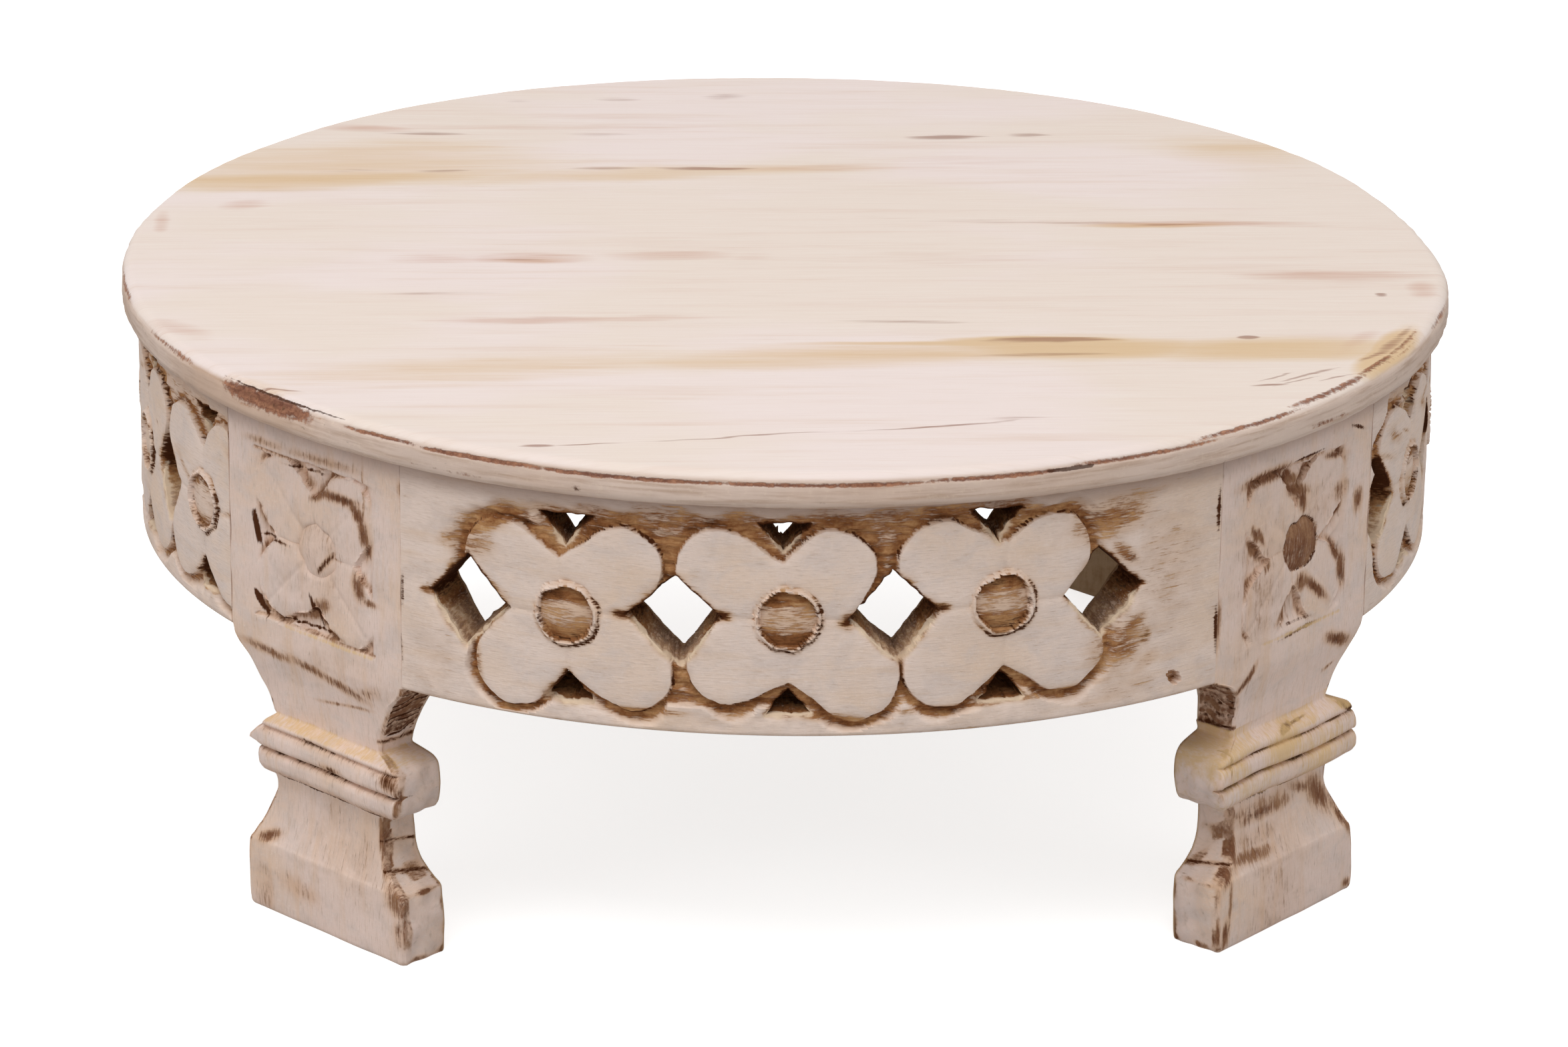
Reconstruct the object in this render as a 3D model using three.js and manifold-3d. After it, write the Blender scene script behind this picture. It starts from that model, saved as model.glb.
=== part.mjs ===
// A round low table of the bajot kind, in whitewashed hardwood. Three boards glued edge to edge lie
// on a ring of four pierced and carved panels, which are dowelled between four carved plank legs.
// Millimetres, +Z up, origin on the floor under the middle of the top, the front towards -Y.
import * as THREE from "three";
import { mergeVertices } from "three/addons/utils/BufferGeometryUtils.js";
import Module from "manifold-3d";

const wasm = await Module();
wasm.setup();

// Driving dimensions of the whole table.
const tableHeight = 188;
const topRadius = 230;
const topThickness = 12;
const topEdgeRadius = 4;
const topOverhang = 5.6;
const boardJointDistance = 77;
const topSides = 60;
const edgeArcSteps = 2;

// Clearances: what touches on the real table keeps a seam, and a cutter runs past every face.
const seam = 0.3;
const overrun = 4;
const weldDistance = 0.0001;

// The four panels of the ring, and the pattern cut into them.
const panelHeight = 77.8;
const panelThickness = 19.5;
const panelSides = 14;
const upperBorder = 7;
const lowerBorder = 5.8;
const groundDepth = 2.6;
const groundMargin = 3;
const petalGap = 1.5;
const petalRadius = 13;
const petalArcSteps = 4;
const bossRadius = 10.75;
const bossProud = 1.2;
const bossSides = 12;
const diamondGap = 1.3;
const diamondHeight = 33;
const slitWidth = 15;
const upperSlitRise = 8;
const lowerSlitRise = 9.5;
const lowerSlitInset = 2.5;

// Each panel was cut from a longer carved strip, so its pattern sits off the panel's middle and may
// run into a leg. Spacing is left between the petals of neighbouring flowers, and a shift is the
// way from the panel's middle to the pattern's, both along the panel's outer face.
const longSpacing = 8.5;
const longShift = -10;
const rightSpacing = 4;
const rightShift = -20.6;
const leftSpacing = 1.6;
const leftShift = 15.9;
const panels = [
  { name: "apron_front", facing: 0, flowers: 3, spacing: longSpacing, shift: longShift, ends: 1 },
  { name: "apron_right", facing: 90, flowers: 3, spacing: rightSpacing, shift: rightShift, ends: 1 },
  { name: "apron_back", facing: 180, flowers: 3, spacing: longSpacing, shift: longShift, ends: 1 },
  { name: "apron_left", facing: 270, flowers: 4, spacing: leftSpacing, shift: leftShift, ends: 0 },
];

// The legs: planks whose outer face is the chord between two panel ends. The heights of the turning
// are shares of the clear height under the panels.
const legTurn = 46.65;
const legWidth = 83;
const legThickness = 19.5;
const legLevelShares = {
  shoulder: 0.988,
  waist: 0.765,
  groove: 0.59,
  beadFoot: 0.49,
  neck: 0.42,
  foot: 0.225,
};
const waistWidth = 50;
const waistSetback = 4.5;
const beadWidth = 76;
const beadProud = 1;
const beadGrooveDepth = 1.6;
const neckWidth = 49;
const neckSetback = 4.5;
const footWidth = 75;
const footSetback = 0.5;
const legArcSteps = 4;
const motifWidth = 60;
const motifBorder = 10;
const motifDepth = 2.4;
const motifPetalRadius = 11;
const motifPetalGap = 1.2;
const motifBossRadius = 9;

// Hidden joinery: dowels in the panel ends, battens across the boards, blocks behind the legs.
const dowelRadius = 3;
const dowelDepth = 9.5;
const dowelChamfer = 0.8;
const upperDowelDrop = 14;
const lowerDowelRise = 10.8;
const battenWidth = 40;
const battenThickness = 16;
const battenSideGap = 10;
const battenEndGap = 6;
const blockInset = 13.5;
const blockDepth = 22;
const blockHeight = 26;
const blockScrewSpread = 15;
const screwRadius = 2;
const screwHeadRadius = 4;
const screwHeadHeight = 2.4;
const screwCover = 4;
const screwTip = 3;
const pinSides = 8;

const paintedTop = new THREE.MeshStandardMaterial({ color: 0xeadccd, roughness: 0.72, metalness: 0 });
const paintedRing = new THREE.MeshStandardMaterial({ color: 0xd9cbc2, roughness: 0.78, metalness: 0 });
const paintedLeg = new THREE.MeshStandardMaterial({ color: 0xd8c7ba, roughness: 0.76, metalness: 0 });
const bareWood = new THREE.MeshStandardMaterial({ color: 0xb48a5c, roughness: 0.8, metalness: 0 });
const dowelWood = new THREE.MeshStandardMaterial({ color: 0xcaa777, roughness: 0.75, metalness: 0 });
const screwSteel = new THREE.MeshStandardMaterial({ color: 0x8f8f8c, roughness: 0.4, metalness: 1 });

const ringTop = tableHeight - topThickness - seam;
const panelRadius = topRadius - topOverhang;
const panelInnerRadius = panelRadius - panelThickness;
const panelBottom = ringTop - panelHeight;
const groundHeight = panelHeight - upperBorder - lowerBorder;
const flowerHeight = ringTop - upperBorder - groundHeight / 2;
const petalReach = groundHeight / 2 - petalGap;
const legHalfWidth = legWidth / 2;
const legFace = Math.sqrt(panelRadius ** 2 - legHalfWidth ** 2);
const legBack = legFace - legThickness;
const legMiddle = legFace - legThickness / 2;
const legLevel = (name) => panelBottom * legLevelShares[name];

const radians = THREE.MathUtils.degToRad;

// A closed geometry as a solid that can be joined and cut.
function solidOf(geometry) {
  const bare = geometry.index ? geometry.toNonIndexed() : geometry.clone();
  bare.deleteAttribute("normal");
  bare.deleteAttribute("uv");
  const merged = mergeVertices(bare, weldDistance);
  return new wasm.Manifold(
    new wasm.Mesh({
      numProp: 3,
      vertProperties: merged.attributes.position.array,
      triVerts: new Uint32Array(merged.index.array),
    }),
  );
}

// A finished solid as flat-shaded geometry.
function geometryOf(solid) {
  const mesh = solid.getMesh();
  const indexed = new THREE.BufferGeometry();
  indexed.setAttribute("position", new THREE.BufferAttribute(mesh.vertProperties, 3));
  indexed.setIndex(new THREE.BufferAttribute(mesh.triVerts, 1));
  const geometry = indexed.toNonIndexed();
  geometry.computeVertexNormals();
  return geometry;
}

const joined = (solids) => solids.reduce((whole, solid) => whole.add(solid));
const cutBy = (solid, cutters) => cutters.reduce((rest, cutter) => rest.subtract(cutter), solid);

function meshOf(name, solid, material) {
  const mesh = new THREE.Mesh(geometryOf(solid), material);
  mesh.name = name;
  return mesh;
}

function block(lowX, highX, lowY, highY, lowZ, highZ) {
  const geometry = new THREE.BoxGeometry(highX - lowX, highY - lowY, highZ - lowZ);
  geometry.translate((lowX + highX) / 2, (lowY + highY) / 2, (lowZ + highZ) / 2);
  return solidOf(geometry);
}

// A piece of ring between two radii and two heights, from one turn to another, both in radians
// from the front.
function ringPiece(inner, outer, low, high, fromTurn, toTurn, steps) {
  const from = fromTurn - Math.PI / 2;
  const to = toTurn - Math.PI / 2;
  const outline = new THREE.Shape();
  outline.absarc(0, 0, outer, from, to, false);
  outline.absarc(0, 0, inner, to, from, true);
  outline.closePath();
  const options = { depth: high - low, bevelEnabled: false, curveSegments: steps };
  const geometry = new THREE.ExtrudeGeometry(outline, options);
  geometry.translate(0, 0, low);
  return solidOf(geometry);
}

// An outline drawn on the front face, x along it and y up, pushed through from one distance to
// another in front of the table's axis, then turned round that axis.
function frontPrism(outline, near, far, turn, steps = petalArcSteps) {
  const options = { depth: far - near, bevelEnabled: false, curveSegments: steps };
  const geometry = new THREE.ExtrudeGeometry(outline, options);
  geometry.rotateX(Math.PI / 2);
  geometry.translate(0, -near, 0);
  geometry.rotateZ(turn);
  return solidOf(geometry);
}

function polygon(points) {
  return new THREE.Shape(points.map(([x, y]) => new THREE.Vector2(x, y)));
}

// Two opposite petals are one bar with round ends, slanted across the flower's middle.
function petalPair(middle, reach, radius, slant) {
  const tip = (reach - radius) / Math.cos(slant);
  const along = new THREE.Vector2(Math.cos(slant), Math.sin(slant));
  const outline = new THREE.Shape();
  const quarter = Math.PI / 2;
  const tipX = along.x * tip;
  const tipY = along.y * tip;
  outline.absarc(tipX, middle + tipY, radius, slant - quarter, slant + quarter, false);
  outline.absarc(-tipX, middle - tipY, radius, slant + quarter, slant - quarter, false);
  outline.closePath();
  return outline;
}

// A four-petalled flower as a prism.
function flower(middle, reach, radius, near, far, turn) {
  const slant = Math.PI / 4;
  const rising = frontPrism(petalPair(middle, reach, radius, slant), near, far, turn);
  const falling = frontPrism(petalPair(middle, reach, radius, -slant), near, far, turn);
  return rising.add(falling);
}

function diamond(width, height, near, far, turn) {
  const corners = [
    [width / 2, flowerHeight],
    [0, flowerHeight + height / 2],
    [-width / 2, flowerHeight],
    [0, flowerHeight - height / 2],
  ];
  return frontPrism(polygon(corners), near, far, turn);
}

// A small triangle with its level edge at base and its point at tip, from the flowers' middle.
function slit(base, tip, near, far, turn) {
  const corners = [
    [-slitWidth / 2, flowerHeight + base],
    [0, flowerHeight + tip],
    [slitWidth / 2, flowerHeight + base],
  ];
  return frontPrism(polygon(corners), near, far, turn);
}

// A round pin or bore along +Z, from a profile of radii and heights.
function turned(profile) {
  const points = profile.map(([radius, height]) => new THREE.Vector2(radius, height));
  const geometry = new THREE.LatheGeometry(points, pinSides);
  geometry.rotateX(Math.PI / 2);
  return geometry;
}

// The space that one leg takes out of the ring, with a seam on each side.
function legNotch(turn) {
  const reach = legHalfWidth + seam;
  const low = panelBottom - overrun;
  const notch = block(-reach, reach, -panelRadius - overrun, -panelInnerRadius / 2, low, ringTop + overrun);
  return notch.rotate([0, 0, THREE.MathUtils.radToDeg(turn)]);
}

const legTurns = [-legTurn, legTurn, 180 - legTurn, 180 + legTurn].map(radians);
const legNames = ["leg_front_left", "leg_front_right", "leg_back_right", "leg_back_left"];

// Dowels lie square to the leg's flank, half in the leg and half in the panel's end.
const dowelProfile = [
  [0, -dowelDepth],
  [dowelRadius - dowelChamfer, -dowelDepth],
  [dowelRadius, dowelChamfer - dowelDepth],
  [dowelRadius, dowelDepth - dowelChamfer],
  [dowelRadius - dowelChamfer, dowelDepth],
  [0, dowelDepth],
];
const dowelBoreProfile = [
  [0, -dowelDepth - seam],
  [dowelRadius + seam, -dowelDepth - seam],
  [dowelRadius + seam, dowelDepth + seam],
  [0, dowelDepth + seam],
];
const dowelSeats = [];
for (const [index, turn] of legTurns.entries()) {
  for (const side of [-1, 1]) {
    const flank = side < 0 ? "a" : "b";
    const place = legNames[index].replace("leg_", "");
    const upper = ringTop - upperDowelDrop;
    const lower = panelBottom + lowerDowelRise;
    dowelSeats.push({ name: `dowel_${place}_${flank}_upper`, turn, side, height: upper });
    dowelSeats.push({ name: `dowel_${place}_${flank}_lower`, turn, side, height: lower });
  }
}

function atDowelSeat(geometry, seat) {
  geometry.rotateY(Math.PI / 2);
  geometry.translate(seat.side * (legHalfWidth + seam / 2), -legMiddle, seat.height);
  geometry.rotateZ(seat.turn);
  return solidOf(geometry);
}

const dowelBores = dowelSeats.map((seat) => atDowelSeat(turned(dowelBoreProfile), seat));

// Countersunk wood screws, head down at height zero and point up.
function screwProfile(length, clearance) {
  const shank = screwRadius + clearance;
  const head = screwHeadRadius + clearance;
  return [
    [0, -clearance],
    [head, -clearance],
    [shank, screwHeadHeight],
    [shank, length - screwTip + clearance],
    [0, length + clearance],
  ];
}

const screwBite = topThickness - screwCover;
const battenBottom = ringTop - battenThickness;
const battenScrewLength = battenThickness + seam + screwBite;
const blockScrewLength = blockHeight + seam + screwBite;
const blockWidth = legWidth - blockInset * 2;
const blockBack = legBack - seam - blockDepth;
const legScrewLength = blockDepth + seam + screwBite;

// The battens run from front to back just inside the blocks, and stop short of the ring.
const blockCorner = Math.sin(radians(legTurn)) * blockBack - (Math.cos(radians(legTurn)) * blockWidth) / 2;
const battenEdge = blockCorner - battenSideGap;
const battenOffset = battenEdge - battenWidth / 2;
const battenLength = Math.sqrt((panelInnerRadius - battenEndGap) ** 2 - battenEdge ** 2) * 2;
const outerScrew = (boardJointDistance + battenLength / 2) / 2;

const battenScrews = [];
for (const [side, x] of [["left", -battenOffset], ["right", battenOffset]]) {
  for (const [place, y] of [["front", -outerScrew], ["middle", 0], ["back", outerScrew]]) {
    battenScrews.push({ name: `batten_screw_${side}_${place}`, x, y });
  }
}

function atBattenScrew(geometry, screw) {
  geometry.translate(screw.x, screw.y, battenBottom);
  return solidOf(geometry);
}

// Each block takes one screw up into the top and one outwards into its leg.
function atBlockTopScrew(geometry, turn) {
  geometry.translate(-blockScrewSpread, -blockBack - blockDepth / 2, ringTop - blockHeight);
  geometry.rotateZ(turn);
  return solidOf(geometry);
}

function atBlockLegScrew(geometry, turn) {
  geometry.rotateX(Math.PI / 2);
  geometry.translate(blockScrewSpread, -blockBack, ringTop - blockHeight / 2);
  geometry.rotateZ(turn);
  return solidOf(geometry);
}

const battenScrewBores = battenScrews.map((screw) =>
  atBattenScrew(turned(screwProfile(battenScrewLength, seam)), screw),
);
const blockTopBores = legTurns.map((turn) =>
  atBlockTopScrew(turned(screwProfile(blockScrewLength, seam)), turn),
);
const blockLegBores = legTurns.map((turn) =>
  atBlockLegScrew(turned(screwProfile(legScrewLength, seam)), turn),
);

const table = new THREE.Group();

// The top: one turned disc with a rounded edge, sawn into three boards.
function topDisc() {
  const profile = new THREE.Path();
  const low = tableHeight - topThickness;
  const round = topEdgeRadius;
  const flat = topRadius - round;
  profile.moveTo(0, low);
  profile.lineTo(flat, low);
  profile.absarc(flat, low + round, round, -Math.PI / 2, 0, false);
  profile.absarc(flat, tableHeight - round, round, 0, Math.PI / 2, false);
  profile.lineTo(0, tableHeight);
  const points = profile.getPoints(edgeArcSteps);
  const geometry = new THREE.LatheGeometry(points, topSides);
  geometry.rotateX(Math.PI / 2);
  return solidOf(geometry);
}

const past = topRadius + overrun;
const boardEdges = [
  ["top_board_front", -past, -boardJointDistance - seam / 2],
  ["top_board_middle", -boardJointDistance + seam / 2, boardJointDistance - seam / 2],
  ["top_board_back", boardJointDistance + seam / 2, past],
];
const disc = cutBy(topDisc(), [...battenScrewBores, ...blockTopBores]);
for (const [name, front, back] of boardEdges) {
  const board = disc.intersect(block(-past, past, front, back, 0, tableHeight + overrun));
  table.add(meshOf(name, board, paintedTop));
}

// One panel: a sawn ring piece with a sunk ground, from which the flowers stand up, pierced by
// diamonds between the flowers and by small triangles above and below each boss.
function panelSolid(panel) {
  const facing = radians(panel.facing);
  const across = legTurns.map((turn) => Math.atan2(Math.sin(turn - facing), Math.cos(turn - facing)));
  const start = facing + Math.max(...across.filter((turn) => turn < 0));
  const end = facing + Math.min(...across.filter((turn) => turn > 0));
  const groundRadius = panelRadius - groundDepth;
  const outside = panelRadius + overrun;
  const inside = panelInnerRadius - overrun;
  const low = flowerHeight - groundHeight / 2;
  const high = flowerHeight + groundHeight / 2;
  const turnAt = (length) => facing + length / panelRadius;

  const pitch = petalReach * 2 + panel.spacing;
  const first = panel.shift - (pitch * (panel.flowers - 1)) / 2;
  const flowerTurns = Array.from({ length: panel.flowers }, (_, i) => turnAt(first + i * pitch));
  const diamondTurns = [];
  for (let i = -panel.ends; i < panel.flowers - 1 + panel.ends; i += 1) {
    diamondTurns.push(turnAt(first + (i + 1 / 2) * pitch));
  }
  const diamondWidth = pitch - (petalRadius * Math.SQRT2 + diamondGap) * 2;

  const shell = ringPiece(groundRadius, outside, low, high, start, end, panelSides);
  const lastFlower = flowerTurns[panel.flowers - 1];
  const between = ringPiece(inside, outside, low, high, flowerTurns[0], lastFlower, panelSides);
  const wideReach = petalReach + groundMargin;
  const wideRadius = petalRadius + groundMargin;
  const ends = [flowerTurns[0], lastFlower].map((turn) =>
    flower(flowerHeight, wideReach, wideRadius, inside, outside, turn),
  );
  const wideWidth = diamondWidth + groundMargin * 2;
  const wideHeight = diamondHeight + groundMargin * 2;
  const chevrons = diamondTurns.map((turn) => diamond(wideWidth, wideHeight, inside, outside, turn));
  const petals = flowerTurns.map((turn) =>
    flower(flowerHeight, petalReach, petalRadius, inside, outside, turn),
  );
  const ground = cutBy(shell.intersect(joined([between, ...ends, ...chevrons])), petals);

  const holes = diamondTurns.map((turn) => diamond(diamondWidth, diamondHeight, inside, outside, turn));
  for (const turn of flowerTurns) {
    const upperBase = groundHeight / 2;
    const lowerBase = lowerSlitInset - groundHeight / 2;
    holes.push(slit(upperBase, upperBase - upperSlitRise, inside, outside, turn));
    holes.push(slit(lowerBase, lowerBase + lowerSlitRise, inside, outside, turn));
  }

  const bossOutline = new THREE.Shape();
  bossOutline.absarc(0, flowerHeight, bossRadius, 0, Math.PI * 2, false);
  const bosses = flowerTurns.map((turn) =>
    frontPrism(bossOutline, groundRadius, panelRadius + bossProud, turn, bossSides),
  );

  const blank = ringPiece(panelInnerRadius, panelRadius, panelBottom, ringTop, start, end, panelSides);
  const carved = cutBy(blank, [ground, ...holes]).add(joined(bosses));
  return cutBy(carved, [...legTurns.map(legNotch), ...dowelBores]);
}

for (const panel of panels) table.add(meshOf(panel.name, panelSolid(panel), paintedRing));

// The leg seen from the front: full width at the panels, a coved waist, a bead of two rolls, a neck
// and a foot.
function legFrontOutline() {
  const shoulder = legLevel("shoulder");
  const waistLevel = legLevel("waist");
  const groove = legLevel("groove");
  const beadFoot = legLevel("beadFoot");
  const neckLevel = legLevel("neck");
  const footLevel = legLevel("foot");
  const waist = waistWidth / 2;
  const bead = beadWidth / 2;
  const neck = neckWidth / 2;
  const foot = footWidth / 2;
  const side = new THREE.Path();
  side.moveTo(legHalfWidth, ringTop);
  side.lineTo(legHalfWidth, shoulder);
  side.quadraticCurveTo(waist, (shoulder + waistLevel) / 2, waist, waistLevel);
  side.quadraticCurveTo(bead, waistLevel, bead, (waistLevel + groove) / 2);
  side.lineTo(bead - beadGrooveDepth, groove);
  side.lineTo(bead, (groove + beadFoot) / 2);
  side.quadraticCurveTo(bead, beadFoot, neck, beadFoot);
  side.quadraticCurveTo(neck, neckLevel, (neck + foot) / 2, (neckLevel + footLevel) / 2);
  side.quadraticCurveTo(foot, footLevel, foot, footLevel - (neckLevel - footLevel) / 4);
  side.lineTo(foot, 0);
  const right = side.getPoints(legArcSteps);
  const left = right.map((point) => new THREE.Vector2(-point.x, point.y)).reverse();
  return new THREE.Shape([...left, ...right]);
}

// The leg seen from its flank: the back is flat, and the face is cut back above and below the bead.
function legSideOutline() {
  const shoulder = legLevel("shoulder");
  const waistLevel = legLevel("waist");
  const groove = legLevel("groove");
  const beadFoot = legLevel("beadFoot");
  const neckLevel = legLevel("neck");
  const footLevel = legLevel("foot");
  const waist = legThickness - waistSetback;
  const bead = legThickness + beadProud;
  const neck = legThickness - neckSetback;
  const foot = legThickness - footSetback;
  const face = new THREE.Path();
  face.moveTo(0, 0);
  face.lineTo(foot, 0);
  face.lineTo(foot, footLevel);
  face.quadraticCurveTo(neck, footLevel, neck, neckLevel);
  face.lineTo(neck, beadFoot);
  face.quadraticCurveTo(bead, beadFoot, bead, (groove + beadFoot) / 2);
  face.lineTo(bead - beadGrooveDepth, groove);
  face.lineTo(bead, (waistLevel + groove) / 2);
  face.quadraticCurveTo(bead, waistLevel, waist, waistLevel);
  face.quadraticCurveTo(waist, (shoulder + waistLevel) / 2, legThickness, shoulder);
  face.lineTo(legThickness, ringTop);
  face.lineTo(0, ringTop);
  return new THREE.Shape(face.getPoints(legArcSteps));
}

// The square carving on the leg's face: a flower whose petals run into the corners.
function motifCut() {
  const half = motifWidth / 2;
  const middle = ringTop - motifBorder - half;
  const floor = legFace - motifDepth;
  const square = polygon([
    [-half, middle - half],
    [half, middle - half],
    [half, middle + half],
    [-half, middle + half],
  ]);
  const field = frontPrism(square, floor, legFace + overrun, 0);
  const near = floor - overrun;
  const far = legFace + overrun * 2;
  const petals = flower(middle, half - motifPetalGap, motifPetalRadius, near, far, 0);
  const bossOutline = new THREE.Shape();
  bossOutline.absarc(0, middle, motifBossRadius, 0, Math.PI * 2, false);
  const boss = frontPrism(bossOutline, near, far, 0, bossSides);
  return cutBy(field, [petals, boss]);
}

function legSolid() {
  const fromFront = frontPrism(legFrontOutline(), legBack, legFace + overrun, 0, legArcSteps);
  const options = { depth: legWidth + overrun * 2, bevelEnabled: false, curveSegments: legArcSteps };
  const side = new THREE.ExtrudeGeometry(legSideOutline(), options);
  const outward = new THREE.Vector3(0, -1, 0);
  const upward = new THREE.Vector3(0, 0, 1);
  const sideways = new THREE.Vector3(-1, 0, 0);
  side.applyMatrix4(new THREE.Matrix4().makeBasis(outward, upward, sideways));
  side.translate(legHalfWidth + overrun, -legBack, 0);
  return fromFront.intersect(solidOf(side)).subtract(motifCut());
}

const plainLeg = legSolid();
for (const [index, turn] of legTurns.entries()) {
  const leg = plainLeg.rotate([0, 0, THREE.MathUtils.radToDeg(turn)]);
  table.add(meshOf(legNames[index], cutBy(leg, [...dowelBores, ...blockLegBores]), paintedLeg));
}

for (const seat of dowelSeats) {
  table.add(meshOf(seat.name, atDowelSeat(turned(dowelProfile), seat), dowelWood));
}

// Two battens across the three boards, glued and screwed from below.
for (const [side, x] of [["left", -battenOffset], ["right", battenOffset]]) {
  const half = battenWidth / 2;
  const batten = block(x - half, x + half, -battenLength / 2, battenLength / 2, battenBottom, ringTop);
  table.add(meshOf(`batten_${side}`, cutBy(batten, battenScrewBores), bareWood));
}
for (const screw of battenScrews) {
  table.add(meshOf(screw.name, atBattenScrew(turned(screwProfile(battenScrewLength, 0)), screw), screwSteel));
}

// A glue block in the corner between each leg and the top.
for (const [index, turn] of legTurns.entries()) {
  const place = legNames[index].replace("leg_", "");
  const half = blockWidth / 2;
  const front = -blockBack - blockDepth;
  const plain = block(-half, half, front, -blockBack, ringTop - blockHeight, ringTop);
  const inPlace = plain.rotate([0, 0, THREE.MathUtils.radToDeg(turn)]);
  const bored = cutBy(inPlace, [...blockTopBores, ...blockLegBores]);
  table.add(meshOf(`corner_block_${place}`, bored, bareWood));
  const topScrew = atBlockTopScrew(turned(screwProfile(blockScrewLength, 0)), turn);
  table.add(meshOf(`block_screw_up_${place}`, topScrew, screwSteel));
  const legScrew = atBlockLegScrew(turned(screwProfile(legScrewLength, 0)), turn);
  table.add(meshOf(`block_screw_out_${place}`, legScrew, screwSteel));
}

export default table;
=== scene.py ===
import math
from functools import reduce

import bmesh
import bpy
import numpy as np
from mathutils import Matrix, Vector, geometry


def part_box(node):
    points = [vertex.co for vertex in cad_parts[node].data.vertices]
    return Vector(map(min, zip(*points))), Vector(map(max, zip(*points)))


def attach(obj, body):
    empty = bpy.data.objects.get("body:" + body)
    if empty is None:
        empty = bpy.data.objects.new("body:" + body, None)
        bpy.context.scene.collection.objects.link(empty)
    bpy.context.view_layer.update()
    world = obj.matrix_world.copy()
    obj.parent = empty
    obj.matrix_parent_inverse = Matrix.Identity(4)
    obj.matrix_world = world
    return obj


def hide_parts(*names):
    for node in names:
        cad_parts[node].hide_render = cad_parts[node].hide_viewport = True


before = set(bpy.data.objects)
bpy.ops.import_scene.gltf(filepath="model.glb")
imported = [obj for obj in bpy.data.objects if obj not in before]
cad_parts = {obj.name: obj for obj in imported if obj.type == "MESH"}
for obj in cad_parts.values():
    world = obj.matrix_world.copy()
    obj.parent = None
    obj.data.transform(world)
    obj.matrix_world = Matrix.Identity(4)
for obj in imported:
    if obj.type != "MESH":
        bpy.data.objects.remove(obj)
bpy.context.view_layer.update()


# The ring: four panels sawn from thick planks to the ring's curve, pierced with diamonds and small
# triangles, and carved with four-petalled flowers that stand level with the face. They are
# whitewashed and rubbed back, so that brown wood shows in the sunk ground and at every cut edge.
mm = 0.001
ring_radius = 224.4
panel_thickness = 19.5
panel_low, panel_high = (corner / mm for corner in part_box("apron_front"))
ring_bottom, ring_top = panel_low.z, panel_high.z
cell = 0.8
back_cell = 3.0
leg_turn = 46.65
leg_half_width = 41.5
joint_seam = 0.12
flower_height = 136.2
boss_radius = 10.6
ground_depth = 2.6
petal_edge = 0.45
ground_fade = 6.0
fade_low, fade_high = 112, 128
hole_margin = 1.2
hole_slant = 1.035
wall_rings = 12
high_slit, low_slit = (168.2, 158.6, 17), (105.6, 115.0, 15)


def ripple(x, y, wavelength, seed):
    """A smooth unevenness of about plus and minus one, the same on every run."""
    waves = 6
    dice = np.random.default_rng(seed)
    total = np.zeros(np.broadcast(x, y).shape)
    for _ in range(waves):
        heading, phase = dice.uniform(0, 2 * np.pi, 2)
        pace = 2 * np.pi / (wavelength * dice.uniform(0.7, 1.5))
        total += np.cos((x * np.cos(heading) + y * np.sin(heading)) * pace + phase)
    return total / np.sqrt(waves / 2)


def eased(amount):
    """A soft step from 0 to 1."""
    amount = np.clip(amount, 0, 1)
    return amount * amount * (3 - 2 * amount)


def most(*shares):
    """The highest of several shares at each point."""
    return reduce(np.maximum, shares)


def line_at(place, middle, half_width):
    """A soft line: 1 on its middle and near 0 beyond two half widths."""
    return np.exp(-(((place - middle) / half_width) ** 2))


def faded(distance, reach):
    """1 up to an outline, and falling off beyond it."""
    return np.exp(-np.maximum(distance, 0) / reach)


def wandered(u, z, seed, wavelength, far, near):
    """Moves places a little, as a carver's hand does, so that the outlines drawn there wander."""
    moved = []
    for part in (u, z):
        moved.append(part + far * ripple(u, z, wavelength, seed) + near * ripple(u, z, 4, seed + 1))
        seed += 2
    return moved


def distance_outside(u, z, outline):
    """How far points lie outside a closed outline. Inside it the distance is negative."""
    nearest = np.full(u.shape, np.inf)
    inside = np.zeros(u.shape, bool)
    for (start_u, start_z), (end_u, end_z) in zip(outline, np.roll(outline, -1, axis=0)):
        run, rise = end_u - start_u, end_z - start_z
        share = ((u - start_u) * run + (z - start_z) * rise) / (run * run + rise * rise)
        share = np.clip(share, 0, 1)
        gap = np.hypot(u - start_u - share * run, z - start_z - share * rise)
        nearest = np.minimum(nearest, gap)
        if rise:
            crosses = (start_z > z) != (end_z > z)
            inside ^= crosses & (u < start_u + run * (z - start_z) / rise)
    return np.where(inside, -nearest, nearest)


def nearest_outline(u, z, outlines):
    """The distance outside the nearest of several outlines, each looked at only close by."""
    reach = 14
    nearest = np.full(u.shape, float(reach))
    for outline in outlines:
        low, high = outline.min(axis=0) - reach, outline.max(axis=0) + reach
        close = (u > low[0]) & (u < high[0]) & (z > low[1]) & (z < high[1])
        nearest[close] = np.minimum(nearest[close], distance_outside(u[close], z[close], outline))
    return nearest


def petal(middle, notches, tip):
    """One petal: the hull of the flower's middle, the notches beside the petal and its round tip."""
    tip_u, tip_z, radius = tip
    turns = np.linspace(0, 2 * np.pi, 28, endpoint=False)
    rim = [(tip_u + radius * np.cos(turn), tip_z + radius * np.sin(turn)) for turn in turns]
    points = [middle, *notches, *rim]
    return np.array([points[i] for i in geometry.convex_hull_2d([Vector(p) for p in points])])


def flower(middle, notches, tips):
    """Four petals. The notches run up, right, down, left, and the tips start at the upper right."""
    return [petal(middle, (notches[i], notches[(i + 1) % 4]), tips[i]) for i in range(4)]


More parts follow.
